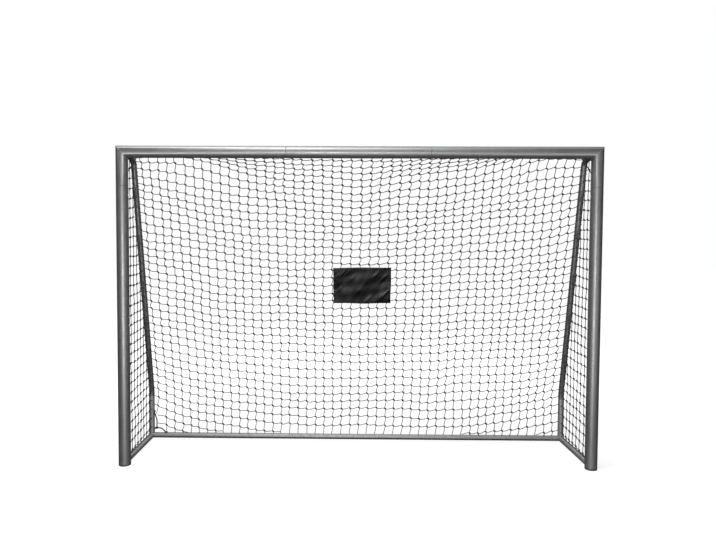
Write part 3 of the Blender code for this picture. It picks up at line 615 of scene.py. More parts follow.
def plated_steel(name, dark, light, roughness, spangle_scale):
    """Bright plated or blued steel, with the marks of drawing under the plating."""
    material, tree, shader = new_material(name)
    marks = placed_group(tree, DRAWN_STEEL, object_place(tree), {"Spangle Scale": spangle_scale})
    tree.links.new(mix_colours(tree, marks["Spangle"], dark, light), shader.inputs["Base Color"])
    rough = ramp_value(tree, marks["Lines"], 0.3, 0.7, roughness - 0.08, roughness + 0.08)
    tree.links.new(rough, shader.inputs["Roughness"])
    shader.inputs["Metallic"].default_value = 1.0
    bump(tree, shader, marks["Lines"], 0.12, 0.0001)
    return material


ZINC_PLATE = plated_steel("zinc_plate", (0.46, 0.47, 0.49), (0.62, 0.63, 0.64), 0.42, 220.0)
JOINT_NAMES = [f"{place}_{side}" for place in ("crossbar", "upper_post", "lower_post") for side, _ in SIDES]


def plate_sleeve(node):
    """A sleeve's CAD node has the right shape: it keeps its mesh and takes a better finish."""
    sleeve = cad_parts[node]
    sleeve.data.materials.clear()
    sleeve.data.materials.append(ZINC_PLATE)


for name in JOINT_NAMES:
    plate_sleeve(f"joint_sleeve_{name}")
for side, _ in SIDES:
    plate_sleeve(f"brace_sleeve_{side}")
    plate_sleeve(f"rear_bar_sleeve_{side}")

# The snap buttons and their leaf springs: a nickel plated pin with a flange under the sleeve's wall, and
# a strip of blued spring steel behind it. Each button rides on its own body and is pressed inwards; the
# strip is spot welded to the sleeve at one end, is drawn in one fixed bent shape, and rides on no body.
NICKEL = plated_steel("nickel_plate", (0.56, 0.55, 0.53), (0.7, 0.69, 0.67), 0.28, 900.0)
BLUED_SPRING = plated_steel("blued_spring", (0.16, 0.17, 0.2), (0.24, 0.25, 0.27), 0.35, 500.0)
FLANGE_RADIUS, FLANGE_THICKNESS = 0.007, 0.0015
PIN_SIDES = 32
PIN_DOME = ((0.0022, 1), (0.0012, 0.93), (0.0005, 0.76), (0.0001, 0.45), (0, 0.12))  # drop, share of radius
LEAF_HALF_WIDTH, LEAF_HALF_THICKNESS, LEAF_RINGS = 0.006, 0.0004, 60
# Distances from the button: where the strip climbs to the sleeve's wall, and between which it bends.
LEAF_RAMP = (0.014, 0.028)


def leaf_spring(name, centre, outward):
    """The strip under one button, with closely spaced rings where it bends."""
    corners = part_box(f"leaf_spring_{name}")
    along = (corners[0] + corners[1]) / 2 - centre
    along = (along - outward * along.dot(outward)).normalized()
    inner, outer = sorted(abs((corner - centre).dot(outward)) for corner in corners)
    end, start = sorted((corner - centre).dot(along) for corner in corners)
    rise = (inner + LEAF_HALF_THICKNESS, outer - LEAF_HALF_THICKNESS)
    path = [centre + along * reach + outward * np.interp(reach, LEAF_RAMP, rise)
            for reach in np.linspace(start, end, LEAF_RINGS)]
    wide, flat = LEAF_HALF_WIDTH, LEAF_HALF_THICKNESS
    section = [(-wide, -flat / 2), (-wide + flat / 2, -flat), (wide - flat / 2, -flat), (wide, -flat / 2),
               (wide, flat / 2), (wide - flat / 2, flat), (-wide + flat / 2, flat), (-wide, flat / 2)]
    strip = skin(sweep(section, path, ALONG_Y))
    spring = piece(f"button_spring_{name}", strip, BLUED_SPRING, body=None)
    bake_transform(spring)
    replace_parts(spring, f"leaf_spring_{name}")


for name in JOINT_NAMES:
    side = name.rsplit("_", 1)[1]
    sign = dict(SIDES)[side]
    if name.startswith("crossbar"):
        centre, outward = Vector((sign * CROSSBAR_BUTTON_X, FRONT_Y, CROSSBAR_Z)), -ALONG_Z
    else:
        height = UPPER_BUTTON_Z if name.startswith("upper") else LOWER_BUTTON_Z
        centre, outward = Vector((sign * POST_X, FRONT_Y, height)), ALONG_X * -sign
    low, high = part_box(f"snap_button_{name}")
    reach = [abs((corner - centre).dot(outward)) for corner in (low, high)]
    base, tip = min(reach), max(reach)
    flange_top = base + FLANGE_THICKNESS
    profile = [(base, 0.0066), (base + 0.0004, FLANGE_RADIUS), (flange_top, FLANGE_RADIUS),
               (flange_top, BUTTON_RADIUS)]
    profile += [(tip - drop, BUTTON_RADIUS * share) for drop, share in PIN_DOME]
    bm = turned(profile, PIN_SIDES, centre, outward, ALONG_Y)
    button = piece(f"button_pin_{name}", bm, NICKEL, body=f"button_{name}")
    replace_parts(button, f"snap_button_{name}")
    leaf_spring(name, centre, outward)

# The rear frame: side bars and short uprights in 38 mm tube, mitred and welded at the rear corners; the
# slanted braces, bent at the top and at the knee; and the rear bar in three lengths. Same dark coat.
BRACE_PAINT = powder_coat("brace_powder_coat", (0.12, 0.12, 0.122), (0.15, 0.15, 0.152), 0.42, 0.4)
# The side bars, uprights and rear bar get a painted near-black shade where they lie on the ground.
SIDE_PAINT = powder_coat("rear_powder_coat", (0.26, 0.26, 0.263), (0.31, 0.311, 0.313), 0.45, 0.45, ground_shade=0.9)
REAR_Y = 0.28925
REAR_SEAM_X = 0.45
UPRIGHT_TOP, KNEE_Z = 0.3, 0.34
TOP_DEPTH = 0.21  # from the crossbar's centre line to the braces' upper bend
BRACE_CORNERS = ((FRONT_Y, BRACE_TOP_Z), (FRONT_Y + TOP_DEPTH, BRACE_TOP_Z), (REAR_Y, KNEE_Z),
                 (REAR_Y, UPRIGHT_TOP + GAP))
BRACE_BENDS = (0.06, 0.1)


def brace_line(x):
    return rounded_path([(x, y, z) for y, z in BRACE_CORNERS], BRACE_BENDS)


def side_tube(name, path, across, paint):
    return piece(name, tube(path, SIDE_RADIUS, SIDE_WALL, SIDE_SIDES, across), paint)


def cope(obj, path, radius, sides, across):
    """Shapes a tube's end to fit against the tube that runs along path."""
    carve(obj, skin(sweep(circle(radius + GAP, sides), path, across)))


for side, sign in SIDES:
    x = sign * POST_X
    front, corner = Vector((x, FRONT_Y, SIDE_RADIUS)), Vector((x, REAR_Y, SIDE_RADIUS))
    top = Vector((x, REAR_Y, UPRIGHT_TOP))
    rear_seam = Vector((sign * (REAR_SEAM_X + GAP), REAR_Y, SIDE_RADIUS))
    bar = side_tube(f"side_bar_{side}", [front, corner, top], ALONG_X, SIDE_PAINT)
    post_foot = [Vector((x, FRONT_Y, z)) for z in (-0.05, 0.1)]
    cope(bar, post_foot, MAIN_RADIUS, MAIN_SIDES, ALONG_Y)
    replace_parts(bar, f"side_frame_{side}")
    weld_bead(f"side_bar_weld_{side}", [front, corner, top], SIDE_RADIUS, SIDE_SIDES, ALONG_X,
              radius=0.001, ripples=40, material=SIDE_PAINT)
    spigot(f"rear_bar_spigot_{side}", (x - sign * SIDE_RADIUS * 0.8, REAR_Y, SIDE_RADIUS),
           (x - sign * (SIDE_RADIUS + SPIGOT_LENGTH), REAR_Y, SIDE_RADIUS), ALONG_Y, SIDE_PAINT)
    brace = side_tube(f"brace_tube_{side}", brace_line(x), ALONG_X, BRACE_PAINT)
    goal_corner = [Vector((along, FRONT_Y, z)) for along, z in ((0, CROSSBAR_Z), (x, CROSSBAR_Z), (x, 1.8))]
    cope(brace, goal_corner, MAIN_RADIUS, MAIN_SIDES, ALONG_Y)
    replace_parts(brace, f"brace_{side}")
    end = side_tube(f"rear_bar_tube_{side}", [rear_seam, corner], ALONG_Y, SIDE_PAINT)
    cope(end, [front, corner, Vector((x, REAR_Y, 0.2))], SIDE_RADIUS, SIDE_SIDES, ALONG_X)
    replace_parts(end, f"rear_bar_{side}")
middle_line = [Vector((x, REAR_Y, SIDE_RADIUS)) for x in (-REAR_SEAM_X, REAR_SEAM_X)]
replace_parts(side_tube("rear_bar_tube_middle", middle_line, ALONG_Y, SIDE_PAINT), "rear_bar_middle")

# The net hooks: small hooks, moulded in black plastic and fixed flat against the backs of the crossbar and
# the posts. They hold the net's border cord.
CORD_RADIUS = 0.003
HOOK_THICKNESS, HOOK_TOP, HOOK_TIP, HOOK_BEND = 0.003, 0.009, 0.002, 0.002
CORD_Y = FRONT_Y + MAIN_RADIUS + GAP + HOOK_THICKNESS + GAP + CORD_RADIUS
CORD_Z = BRACE_TOP_Z + 0.0083
CROSSBAR_HOOKS, CROSSBAR_HOOK_INSET = 5, 0.26  # inset from the posts' centre lines to the outermost hooks
POST_HOOKS, LOWEST_HOOK_Z, POST_HOOK_PITCH = 3, 0.25, 0.625
HOOK_PLASTIC = moulded_plastic("hook_plastic", (0.025, 0.025, 0.026), (0.06, 0.06, 0.06), 3000.0)


def net_hook(name, seat, side, along):
    """A J-shaped hook: seat is on the tube's back, side points away from the hook's arm."""
    arm = CORD_RADIUS + GAP + HOOK_THICKNESS / 2
    base, reach = GAP + HOOK_THICKNESS / 2, CORD_Y - FRONT_Y - MAIN_RADIUS + arm
    stations = ((base, HOOK_TOP), (base, -arm), (reach, -arm), (reach, HOOK_TIP))
    corners = [seat + ALONG_Y * out + side * up for out, up in stations]
    path = rounded_path(corners, (HOOK_BEND, HOOK_BEND), 5)
    section = [(-0.0062, -0.0015), (-0.007, -0.0008), (-0.007, 0.0008), (-0.0062, 0.0015),
               (0.0062, 0.0015), (0.007, 0.0008), (0.007, -0.0008), (0.0062, -0.0015)]
    return piece(name, skin(sweep(section, path, along)), HOOK_PLASTIC)


for i in range(CROSSBAR_HOOKS):
    seat_x = (POST_X - CROSSBAR_HOOK_INSET) * (2 * i / (CROSSBAR_HOOKS - 1) - 1)
    seat = Vector((seat_x, FRONT_Y + MAIN_RADIUS, CORD_Z))
    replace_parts(net_hook(f"crossbar_net_hook_{i + 1}", seat, ALONG_Z, ALONG_X), f"crossbar_hook_{i + 1}")
for side, sign in SIDES:
    for i in range(POST_HOOKS):
        seat = Vector((sign * POST_X, FRONT_Y + MAIN_RADIUS, LOWEST_HOOK_Z + POST_HOOK_PITCH * i))
        hook = net_hook(f"post_net_hook_{side}_{i + 1}", seat, ALONG_X * sign, ALONG_Z)
        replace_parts(hook, f"post_hook_{side}_{i + 1}")

# The net: black polyester twine in square meshes of about 60 mm, knotted at each crossing. The back hangs
# from the border cord to behind the rear bar, and each side fills the space between post, bar and brace.
MESH_BAR = 0.06
TWINE_RADIUS, TWINE_SIDES, TWINE_PLIES = 0.0025, 5, 3.0
KNOT_RADIUS, KNOT_HALF_LENGTH, KNOT_SIDES = 0.006, 0.0084, 6
KNOT_EXIT = 0.0045  # from a knot's middle to where its twines leave it
KNOT_PULL = 0.022  # how far along a twine the knot's lean bends it
NET_TOP_Y = CORD_Y + CORD_RADIUS + 0.002
NET_EDGE_X = POST_X - SIDE_RADIUS - 0.0005
BAR_TOP_Z = 2 * SIDE_RADIUS
PROFILE_STEPS = 240
draw = np.random.default_rng(20)


def twine_lay_group():
    """The lay of twisted twine from UVs that run along it and round it, with stray fibres."""
    group, given, out = new_group(
        "twine_lay",
        (("Vector", "NodeSocketVector", None), ("Strands per Metre", "NodeSocketFloat", 400.0)),
        (("Height", "NodeSocketFloat"), ("Fibres", "NodeSocketFloat")),
    )
    split = group.nodes.new("ShaderNodeSeparateXYZ")
    group.links.new(given.outputs["Vector"], split.inputs[0])
    along = math_node(group, "MULTIPLY", split.outputs["X"], given.outputs["Strands per Metre"])
    around = math_node(group, "MULTIPLY", split.outputs["Y"], TWINE_PLIES)
    turn = math_node(group, "MULTIPLY", math_node(group, "ADD", along, around), 2 * math.pi)
    wave = math_node(group, "SINE", turn)
    group.links.new(math_node(group, "MULTIPLY_ADD", wave, 0.5, 0.5), out.inputs["Height"])
    group.links.new(noise_node(group, given.outputs["Vector"], 900.0, 3.0), out.inputs["Fibres"])
    return group


TWINE_LAY = twine_lay_group()


def twine_material(name, dark, light, strands_per_metre, depth):
    """Black twisted twine: painted shade in the grooves between the strands, a little paler on them, with a
    soft sheen.
    """
    fibre_grey = (0.05, 0.05, 0.052)
    material, tree, shader = new_material(name)
    along_twine = tree.nodes.new("ShaderNodeTexCoord").outputs["UV"]
    lay = placed_group(tree, TWINE_LAY, along_twine, {"Strands per Metre": strands_per_metre})
    # Painted shade: the colour darkens in the grooves between the strands, where the lay's height is low, and
    # pales on the crests.
    colour = mix_colours(tree, lay["Height"], dark, light)
    fuzz = ramp_value(tree, lay["Fibres"], 0.55, 0.8, 0.0, 0.5)
    tree.links.new(mix_colours(tree, fuzz, colour, fibre_grey), shader.inputs["Base Color"])
    shader.inputs["Roughness"].default_value = 0.75
    shader.inputs["Sheen Weight"].default_value = 0.2
    bump(tree, shader, lay["Height"], 0.6, depth)
    return material


NET_TWINE = twine_material("net_twine", (0.006, 0.006, 0.006), (0.02, 0.02, 0.021), 330.0, 0.0006)


def lay_strands(lines, radii, ups, sides):
    """Round strands along many lines at once: lines is strands x points x 3, radii strands x points.

    Returns vertices, faces and UVs (metres along, turns round) of closed strands.
    """
    count, points = lines.shape[:2]
    tangent = np.gradient(lines, axis=1)
    tangent /= np.linalg.norm(tangent, axis=2, keepdims=True)
    beside = np.cross(tangent, ups[:, None, :])
    beside /= np.linalg.norm(beside, axis=2, keepdims=True)
    above = np.cross(beside, tangent)
    turn = (np.arange(sides) * 2 * math.pi / sides)[None, None, :, None]
    ring = beside[:, :, None, :] * np.cos(turn) + above[:, :, None, :] * np.sin(turn)
    vertices = lines[:, :, None, :] + ring * radii[:, :, None, None]
    index = np.arange(count * points * sides).reshape(count, points, sides)
    nearer, further = index[:, :-1], index[:, 1:]
    quads = np.stack([nearer, np.roll(nearer, -1, 2), np.roll(further, -1, 2), further], axis=-1)
    step = np.linalg.norm(np.diff(lines, axis=1), axis=2)
    along = np.concatenate([np.zeros((count, 1)), np.cumsum(step, axis=1)], axis=1)
    near_uv, far_uv, round_uv = (np.broadcast_to(values, (count, points - 1, sides)) for values in (
        along[:, :-1, None], along[:, 1:, None], np.arange(sides) / sides))
    next_uv = round_uv + 1 / sides
    quad_uv = np.stack([np.stack([near_uv, round_uv], -1), np.stack([near_uv, next_uv], -1),
                        np.stack([far_uv, next_uv], -1), np.stack([far_uv, round_uv], -1)], axis=3)
    caps = np.concatenate([index[:, 0, ::-1], index[:, -1]], axis=0)
    return vertices.reshape(-1, 3), quads.reshape(-1, 4), caps, quad_uv.reshape(-1, 2)


def twine_piece(name, parts, material):
    """One piece from the strands of several lay_strands calls; the faces that close the ends come last."""
    sides, ends, start = [], [], 0
    for points, quads, caps, _ in parts:
        sides += (quads + start).tolist()
        ends += (caps + start).tolist()
        start += len(points)
    mesh = bpy.data.meshes.new(name)
    mesh.from_pydata(np.concatenate([part[0] for part in parts]).tolist(), [], sides + ends)
    side_uvs = np.concatenate([part[3] for part in parts])
    uvs = np.zeros((len(mesh.loops), 2), np.float32)
    uvs[: len(side_uvs)] = side_uvs
    mesh.uv_layers.new(name="lay").data.foreach_set("uv", uvs.ravel())
    return finished(name, mesh, material, "frame", smooth_angle=75)


def even_line(points, steps):
    """The line with steps + 1 points at equal distances, and its length."""
    points = np.array([tuple(point) for point in points])
    along = np.concatenate([[0], np.cumsum(np.linalg.norm(np.diff(points, axis=0), axis=1))])
    wanted = np.linspace(0, along[-1], steps + 1)
    return np.stack([np.interp(wanted, along, part) for part in points.T], axis=1), along[-1]


def net_side_line():
    """(y, z) points that the net follows beside a brace, from the crossbar to the top of the rear bar."""
    line = [(NET_TOP_Y, BRACE_TOP_Z), *[(p.y, p.z) for p in brace_line(0)[1:-1]], (REAR_Y, BAR_TOP_Z)]
    return even_line(line, PROFILE_STEPS)[0]


def net_middle_line():
    """(y, z) points of the hanging curve of the net's middle, and the curve's length."""
    drop, back = BRACE_TOP_Z - BAR_TOP_Z, REAR_Y - NET_TOP_Y
    steep, shallow = math.tan(math.radians(84)), math.tan(math.radians(58))
    reach = (back * steep - drop) / (steep - shallow)
    top, floor_end = np.array([NET_TOP_Y, BRACE_TOP_Z]), np.array([REAR_Y, BAR_TOP_Z])
    middle = top + np.array([reach, -reach * shallow])
    t = np.linspace(0, 1, PROFILE_STEPS + 1)[:, None]
    return even_line(top * (1 - t) ** 2 + middle * 2 * t * (1 - t) + floor_end * t**2, PROFILE_STEPS)


SIDE_LINE = net_side_line()
MIDDLE_LINE, MIDDLE_LENGTH = net_middle_line()
TIGHT_RISE = 0.04  # how far the first rows are pulled up behind the crossbar, towards its ends
TIGHT_TOP_Z = BRACE_TOP_Z + 0.007


def smooth_step(share):
    return share * share * (3 - 2 * share)


def net_surface(across, down):
    """Points of the back net: across is -1 to 1 between the braces, down 0 to 1 from crossbar to rear bar."""
    place, steps = np.clip(down, 0, 1) * PROFILE_STEPS, np.arange(PROFILE_STEPS + 1)
    side_y, side_z = (np.interp(place, steps, part) for part in SIDE_LINE.T)
    middle_y, middle_z = (np.interp(place, steps, part) for part in MIDDLE_LINE.T)
    share = np.abs(across) ** (0.9 + 1.1 * np.clip(down / 0.5, 0, 1))
    over = np.clip(down - 1, 0, None) * MIDDLE_LENGTH
    aside, below = np.clip((np.abs(across) - 0.4) / 0.4, 0, 1), np.clip((down - 0.05) / 0.15, 0, 1)
    pulled = smooth_step(aside) * (1 - smooth_step(below)) * (1 - np.abs(across) ** 10)
    height = middle_z + (side_z - middle_z) * share
    height = np.minimum(height + TIGHT_RISE * pulled, np.maximum(height, TIGHT_TOP_Z))
    x, y = across * NET_EDGE_X + 0 * down, middle_y + (side_y - middle_y) * share
    return np.stack([x, y, height - over], axis=-1)


BACK_ROWS, BACK_COLUMNS = 42, 48
LEFT_EDGE_GAP, RIGHT_EDGE_GAP = 0.03, 0.048
TIE_KNOT_Z = 0.075
TIE_FRONT = 0.0105  # how far in front of the rear tubes' centre lines the corner's tie cord runs
CUT_OFF_Z = 0.2  # below this the rows at the left end on the tie cord
# The row that reaches the rear bar in the net's middle. At its left and right edges: some rows, how far
# down the net each hangs, and the share of the net that one more row takes.
MIDDLE_LAST_ROW = 38.0
LEFT_HANG = (0, 5, 12, 41.8), (0, 0.052, 0.2155, 1.0), 0.026
RIGHT_HANG = (0, 4, 10, 39.9), (0, 0.046, 0.194, 1.0), 0.027


def row_down(row, across):
    """How far down the net a row hangs: rows lie closer near the crossbar, most of all at its ends."""
    share = row / MIDDLE_LAST_ROW
    middle = share * 0.8 + 0.2 * share**2
    left, right = (np.where(row > rows[-1], 1 + (row - rows[-1]) * pitch, np.interp(row, rows, hang))
                   for rows, hang, pitch in (LEFT_HANG, RIGHT_HANG))
    edge = np.where(across < 0, left, right)
    power = 0.9 + 2.1 * np.clip(middle / 0.5, 0, 1)
    return middle + (edge - middle) * np.abs(across) ** power


def smooth_noise(rows, columns, cell, low=-1.0, high=1.0):
    """A smooth random field over a grid of knots, with a fresh value every cell knots."""
    coarse = draw.uniform(low, high, (int(rows / cell) + 3, int(columns / cell) + 3))
    row, column = np.arange(rows) / cell, np.arange(columns) / cell
    i, j = row.astype(int), column.astype(int)
    down, right = smooth_step((row - i)[:, None]), smooth_step((column - j)[None, :])
    above = coarse[i][:, j] * (1 - right) + coarse[i][:, j + 1] * right
    below = coarse[i + 1][:, j] * (1 - right) + coarse[i + 1][:, j + 1] * right
    return above * (1 - down) + below * down


def unit(vectors):
    return vectors / np.maximum(np.linalg.norm(vectors, axis=-1, keepdims=True), 1e-9)


def net_strands(starts, ends, bows, ups, kept, leave=None, arrive=None):
    """Strands from starts to ends that bow sideways by bows; kept says which share of each is there.

    leave and arrive are the directions of the knots at the two ends, which bend the stiff twine.
    """
    share = np.linspace(0, 1, 6)[None, :] * kept[:, None]
    line = starts[:, None, :] * (1 - share[..., None]) + ends[:, None, :] * share[..., None]
    line = line + bows[:, None, :] * np.sin(math.pi * share)[..., None]
    for knot, pull in ((leave, share * (1 - share) ** 2), (arrive, -(share**2) * (1 - share))):
        if knot is not None:
            straight = unit(ends - starts)
            line = line + (knot - straight)[:, None, :] * (KNOT_PULL * pull)[..., None]
    return lay_strands(line, np.full(share.shape, TWINE_RADIUS), ups, TWINE_SIDES)


def knot_bodies(centres, directions, ups):
    """Elongated knots, thicker in the middle, where two twines pass through each other."""
    share = np.linspace(-1, 1, 5)
    line = centres[:, None, :] + directions[:, None, :] * (share * KNOT_HALF_LENGTH)[None, :, None]
    size = np.array([0.6, 0.95, 1.0, 0.95, 0.6]) * KNOT_RADIUS
    radii = np.broadcast_to(size, (len(centres), 5)) * draw.uniform(0.88, 1.15, (len(centres), 1))
    return lay_strands(line, radii, ups, KNOT_SIDES)


def back_net():
    """Knots on the net's surface, strayed from the even grid, and the strands between them."""
    rows, columns = BACK_ROWS + 1, BACK_COLUMNS
    x = np.linspace(-NET_EDGE_X + LEFT_EDGE_GAP, NET_EDGE_X - RIGHT_EDGE_GAP, columns) / NET_EDGE_X
    x = x + 0.012 * np.sin(math.pi * x)
    row = np.arange(rows)[:, None] + np.zeros((1, columns))
    across = x[None, :] + np.zeros((rows, 1))
    drift = 0.0055 * smooth_noise(rows, columns, 3.0) + 0.003 * draw.uniform(-1, 1, (rows, columns))
    across = across + drift / NET_EDGE_X
    sag = 0.24 * smooth_noise(rows, columns, 4.0) + 0.06 * draw.uniform(-1, 1, (rows, columns))
    down = row_down(row + np.where(row > 0, sag, 0), across)
    knots = net_surface(across, down)
    right, lower = unit(np.gradient(knots, axis=1)), unit(np.gradient(knots, axis=0))
    normal = unit(np.cross(right, lower))
    knots = knots + normal * (0.004 * smooth_noise(rows, columns, 2.5))[..., None]
    lean = unit(right * 0.75 + lower * (0.75 + 0.25 * smooth_noise(rows, columns, 2.0))[..., None])
    inside = knots[..., 2] > BAR_TOP_Z + 0.012
    # At the left rear corner the outermost column ends early, and the rows go to the tie cord.
    cut_off = (knots[:, 0, 2] < CUT_OFF_Z) & inside[:, 0]
    knots[cut_off, 0, 0], knots[cut_off, 0, 1] = -POST_X + 2 * SIDE_RADIUS, REAR_Y - TIE_FRONT
    knots[cut_off, 0, 2] = np.maximum(knots[cut_off, 0, 2], TIE_KNOT_Z + 0.003)
    inside[cut_off, 0] = False
    first, last = knots - lean * KNOT_EXIT, knots + lean * KNOT_EXIT
    parts = []

    def add(starts, ends, bows, ups, chosen, kept, leans):
        chosen = chosen.ravel()
        starts, ends, bows, ups, leave, arrive = (
            field.reshape(-1, 3)[chosen] for field in (starts, ends, bows, ups, *leans))
        parts.append(net_strands(starts, ends, bows, ups, kept.ravel()[chosen], leave, arrive))

    def share_above_bar(starts, ends, chosen):
        """1 for a strand that ends above the rear bar, less for one that meets it on the way."""
        rise = ends[..., 2] - starts[..., 2]
        safe = np.where(np.abs(rise) < 1e-6, -1e-6, rise)
        share = np.clip((BAR_TOP_Z - starts[..., 2]) / safe, 0.05, 1.0)
        return np.where(chosen | (ends[..., 2] > BAR_TOP_Z), 1.0, share)

    # Rows: from one knot's lower end to the next knot's upper end, sagging a little.
    sags = (lower[:, :-1] * (0.0035 + 0.002 * smooth_noise(rows, columns - 1, 2.0))[..., None])[1:]
    left, right_hand = inside[1:, :-1], inside[1:, 1:]
    both = left & right_hand
    starts, ends, ups = last[1:, :-1], first[1:, 1:], normal[1:, :-1]
    leans = lean[1:, :-1], lean[1:, 1:]
    add(starts, ends, sags, ups, both, np.ones(both.shape), leans)
    add(starts, ends, sags * 0, ups, left & ~right_hand, share_above_bar(starts, ends, both), leans)
    leans = -lean[1:, 1:], -lean[1:, :-1]
    add(ends, starts, sags * 0, ups, right_hand & ~left, share_above_bar(ends, starts, both), leans)
    # Columns: from one row to the next, bowed to one side where the twine is slack.
    spare = np.clip(MESH_BAR - np.linalg.norm(np.diff(knots, axis=0), axis=2), 0, 0.02)
    slack = np.sqrt(spare * MESH_BAR * 0.2)
    way = smooth_noise(rows - 1, columns, 2.2)
    lean_right = np.linspace(-0.15, 0.35, columns)[None, :]
    bow = right[:-1] * ((way * 0.9 + lean_right) * slack)[..., None]
    inner, leaving = inside[:-1] & inside[1:], inside[:-1] & ~inside[1:]
    tops, ends, ups = last[:-1].copy(), first[1:], normal[:-1]
    tops[0] = knots[0]
    add(tops, ends, bow, ups, inner, np.ones(inner.shape), (lean[:-1], lean[1:]))
    stop = share_above_bar(tops, ends, inner)
    straight = unit(ends - tops)
    add(tops, ends, bow * 0, ups, leaving, stop, (straight, straight))
    feet = tops + (ends - tops) * stop[..., None]
    feet = feet[leaving & (knots[1:, :, 2] < BAR_TOP_Z + 0.02)]
    # Behind the rear bar: each column turns over the tube and ends on the bottom cord.
    turn = np.linspace(math.pi / 2, -0.1, 7)
    over = np.stack([0 * turn, np.cos(turn), np.sin(turn)], axis=1) * (SIDE_RADIUS + TWINE_RADIUS + GAP)
    centre = feet.copy()
    centre[:, 1], centre[:, 2] = REAR_Y, SIDE_RADIUS
    round_bar = centre[:, None, :] + over[None, :, :]
    round_bar[:, 0, :] = feet
    radii, ups = np.full(round_bar.shape[:2], TWINE_RADIUS), np.tile([1.0, 0, 0], (len(feet), 1))
    parts.append(lay_strands(round_bar, radii, ups, TWINE_SIDES))
    # Edges: short strands from the outermost knots to the braces.
    for column, x_edge, ends_of in ((0, -NET_EDGE_X, first), (-1, NET_EDGE_X, last)):
        use = inside[1:, column]
        starts = ends_of[1:, column][use]
        on_brace = net_surface(np.full(use.sum(), np.sign(x_edge)), down[1:, column][use] - 0.004)
        up = normal[1:, column][use]
        parts.append(net_strands(starts, on_brace, lower[1:, column][use] * 0.002, up, np.ones(len(starts))))
    body = inside.copy()
    body[0] = False
    parts.append(knot_bodies(knots[body], lean[body], normal[body]))
    net = twine_piece("net_back", parts, NET_TWINE)
    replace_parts(net, "back_net_1", "back_net_2", "back_net_3", "back_net_4")


back_net()

SIDE_COLUMNS, SIDE_ROWS = 9, 32
SIDE_COLUMN_PITCH, SIDE_ROW_PITCH = 0.0605, 0.0625
FIRST_COLUMN_REACH, FIRST_ROW_RISE = 0.012, 0.018  # from the border cord, and from the side bar's top
BRACE_YZ = np.array([(REAR_Y, BAR_TOP_Z)] + [(p.y, p.z) for p in brace_line(0)[:0:-1]])


def brace_distance(y, z):
    """How far inside the brace's centre line a point lies: above 0 on the post's side."""
    at = np.interp(z, BRACE_YZ[:, 1], BRACE_YZ[:, 0])
    return np.minimum(at - y, BRACE_TOP_Z - z)


def side_net(side, sign, rise):
    """The net between post, side bar and brace; its rows climb towards the brace with the slope rise.

    Returns where the columns meet the side bar.
    """
    rows, columns = SIDE_ROWS, SIDE_COLUMNS
    y = CORD_Y + FIRST_COLUMN_REACH + SIDE_COLUMN_PITCH * np.arange(columns)[None, :] + np.zeros((rows, 1))
    z = BAR_TOP_Z + FIRST_ROW_RISE + SIDE_ROW_PITCH * np.arange(rows)[:, None] + rise * (y - CORD_Y)
    y = y + 0.004 * smooth_noise(rows, columns, 2.5) + 0.002 * draw.uniform(-1, 1, (rows, columns))
    z = z + 0.006 * smooth_noise(rows, columns, 3.0) + 0.003 * draw.uniform(-1, 1, (rows, columns))
    x = sign * (POST_X - 0.004) - sign * 0.006 * smooth_noise(rows, columns, 3.0, 0.0, 1.0)
    knots = np.stack([x, y, z], axis=-1)
    lean = unit(np.stack([0 * y, 0.7 + 0.2 * smooth_noise(rows, columns, 2.0), 0.75 + 0 * y], axis=-1))
    inside = brace_distance(y, z) > SIDE_RADIUS + KNOT_RADIUS
    first, last = knots - lean * KNOT_EXIT, knots + lean * KNOT_EXIT
    parts = []

    def ups(count):
        return np.tile([float(sign), 0, 0], (count, 1))

    def cut(starts, ends):
        """The share of each strand up to the brace."""
        share = np.linspace(0.05, 1, 20)[None, :]
        line = starts[:, None, :] * (1 - share[..., None]) + ends[:, None, :] * share[..., None]
        out = brace_distance(line[..., 1], line[..., 2]) < SIDE_RADIUS - 0.002
        return np.where(out.any(axis=1), share[0][out.argmax(axis=1)], 1.0)

    def add(starts, ends, bows, chosen, to_brace=True):
        starts, ends, bows = starts[chosen], ends[chosen], bows[chosen]
        if len(starts):
            kept = cut(starts, ends) if to_brace else np.ones(len(starts))
            parts.append(net_strands(starts, ends, bows, ups(len(starts)), kept))

    drop = np.zeros((rows, columns, 3))
    drop[..., 2] = -0.003
    add(last[:, :-1], first[:, 1:], drop[:, :-1], inside[:, :-1])
    sway = np.zeros((rows, columns, 3))
    sway[..., 1] = 0.004 * smooth_noise(rows, columns, 2.0)
    add(last[:-1], first[1:], sway[:-1], inside[:-1])
    # The rows reach the border cord in front, the columns the side bar below.
    on_cord = knots[:, 0].copy()
    on_cord[:, 0], on_cord[:, 1] = sign * POST_X, CORD_Y
    add(first[:, 0], on_cord, drop[:, 0], inside[:, 0], to_brace=False)
    on_bar = knots[0].copy()
    on_bar[:, 0], on_bar[:, 2] = sign * POST_X, BAR_TOP_Z - 0.001
    add(first[0], on_bar, drop[0], inside[0], to_brace=False)
    # A full row's last knot is tied to the brace.
    for i in np.nonzero(inside[:, -1])[0]:
        start = last[i, -1:]
        end = start + np.array([[0, 0.09, 0.004]])
        parts.append(net_strands(start, end, drop[i, -1:], ups(1), cut(start, end)))
    parts.append(knot_bodies(knots[inside], lean[inside], ups(inside.sum())))
    net = twine_piece(f"net_side_{side}", parts, NET_TWINE)
    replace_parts(net, f"side_net_{side}")
    return on_bar[inside[0]]


side_feet = {side: side_net(side, sign, rise) for (side, sign), rise in zip(SIDES, (0.075, 0.045))}

# The lacing: one length of the same twine round each brace, about a turn for each row of meshes, and a
# loop round the side bar at each column. It holds the edges of the back and the side net together.
LACE_RADIUS = 0.0016
LACE_TURNS, STEPS_PER_TURN = 36, 16
LACE_TOP, LACE_END = 0.14, 0.02  # lengths of brace left free above and below the lacing


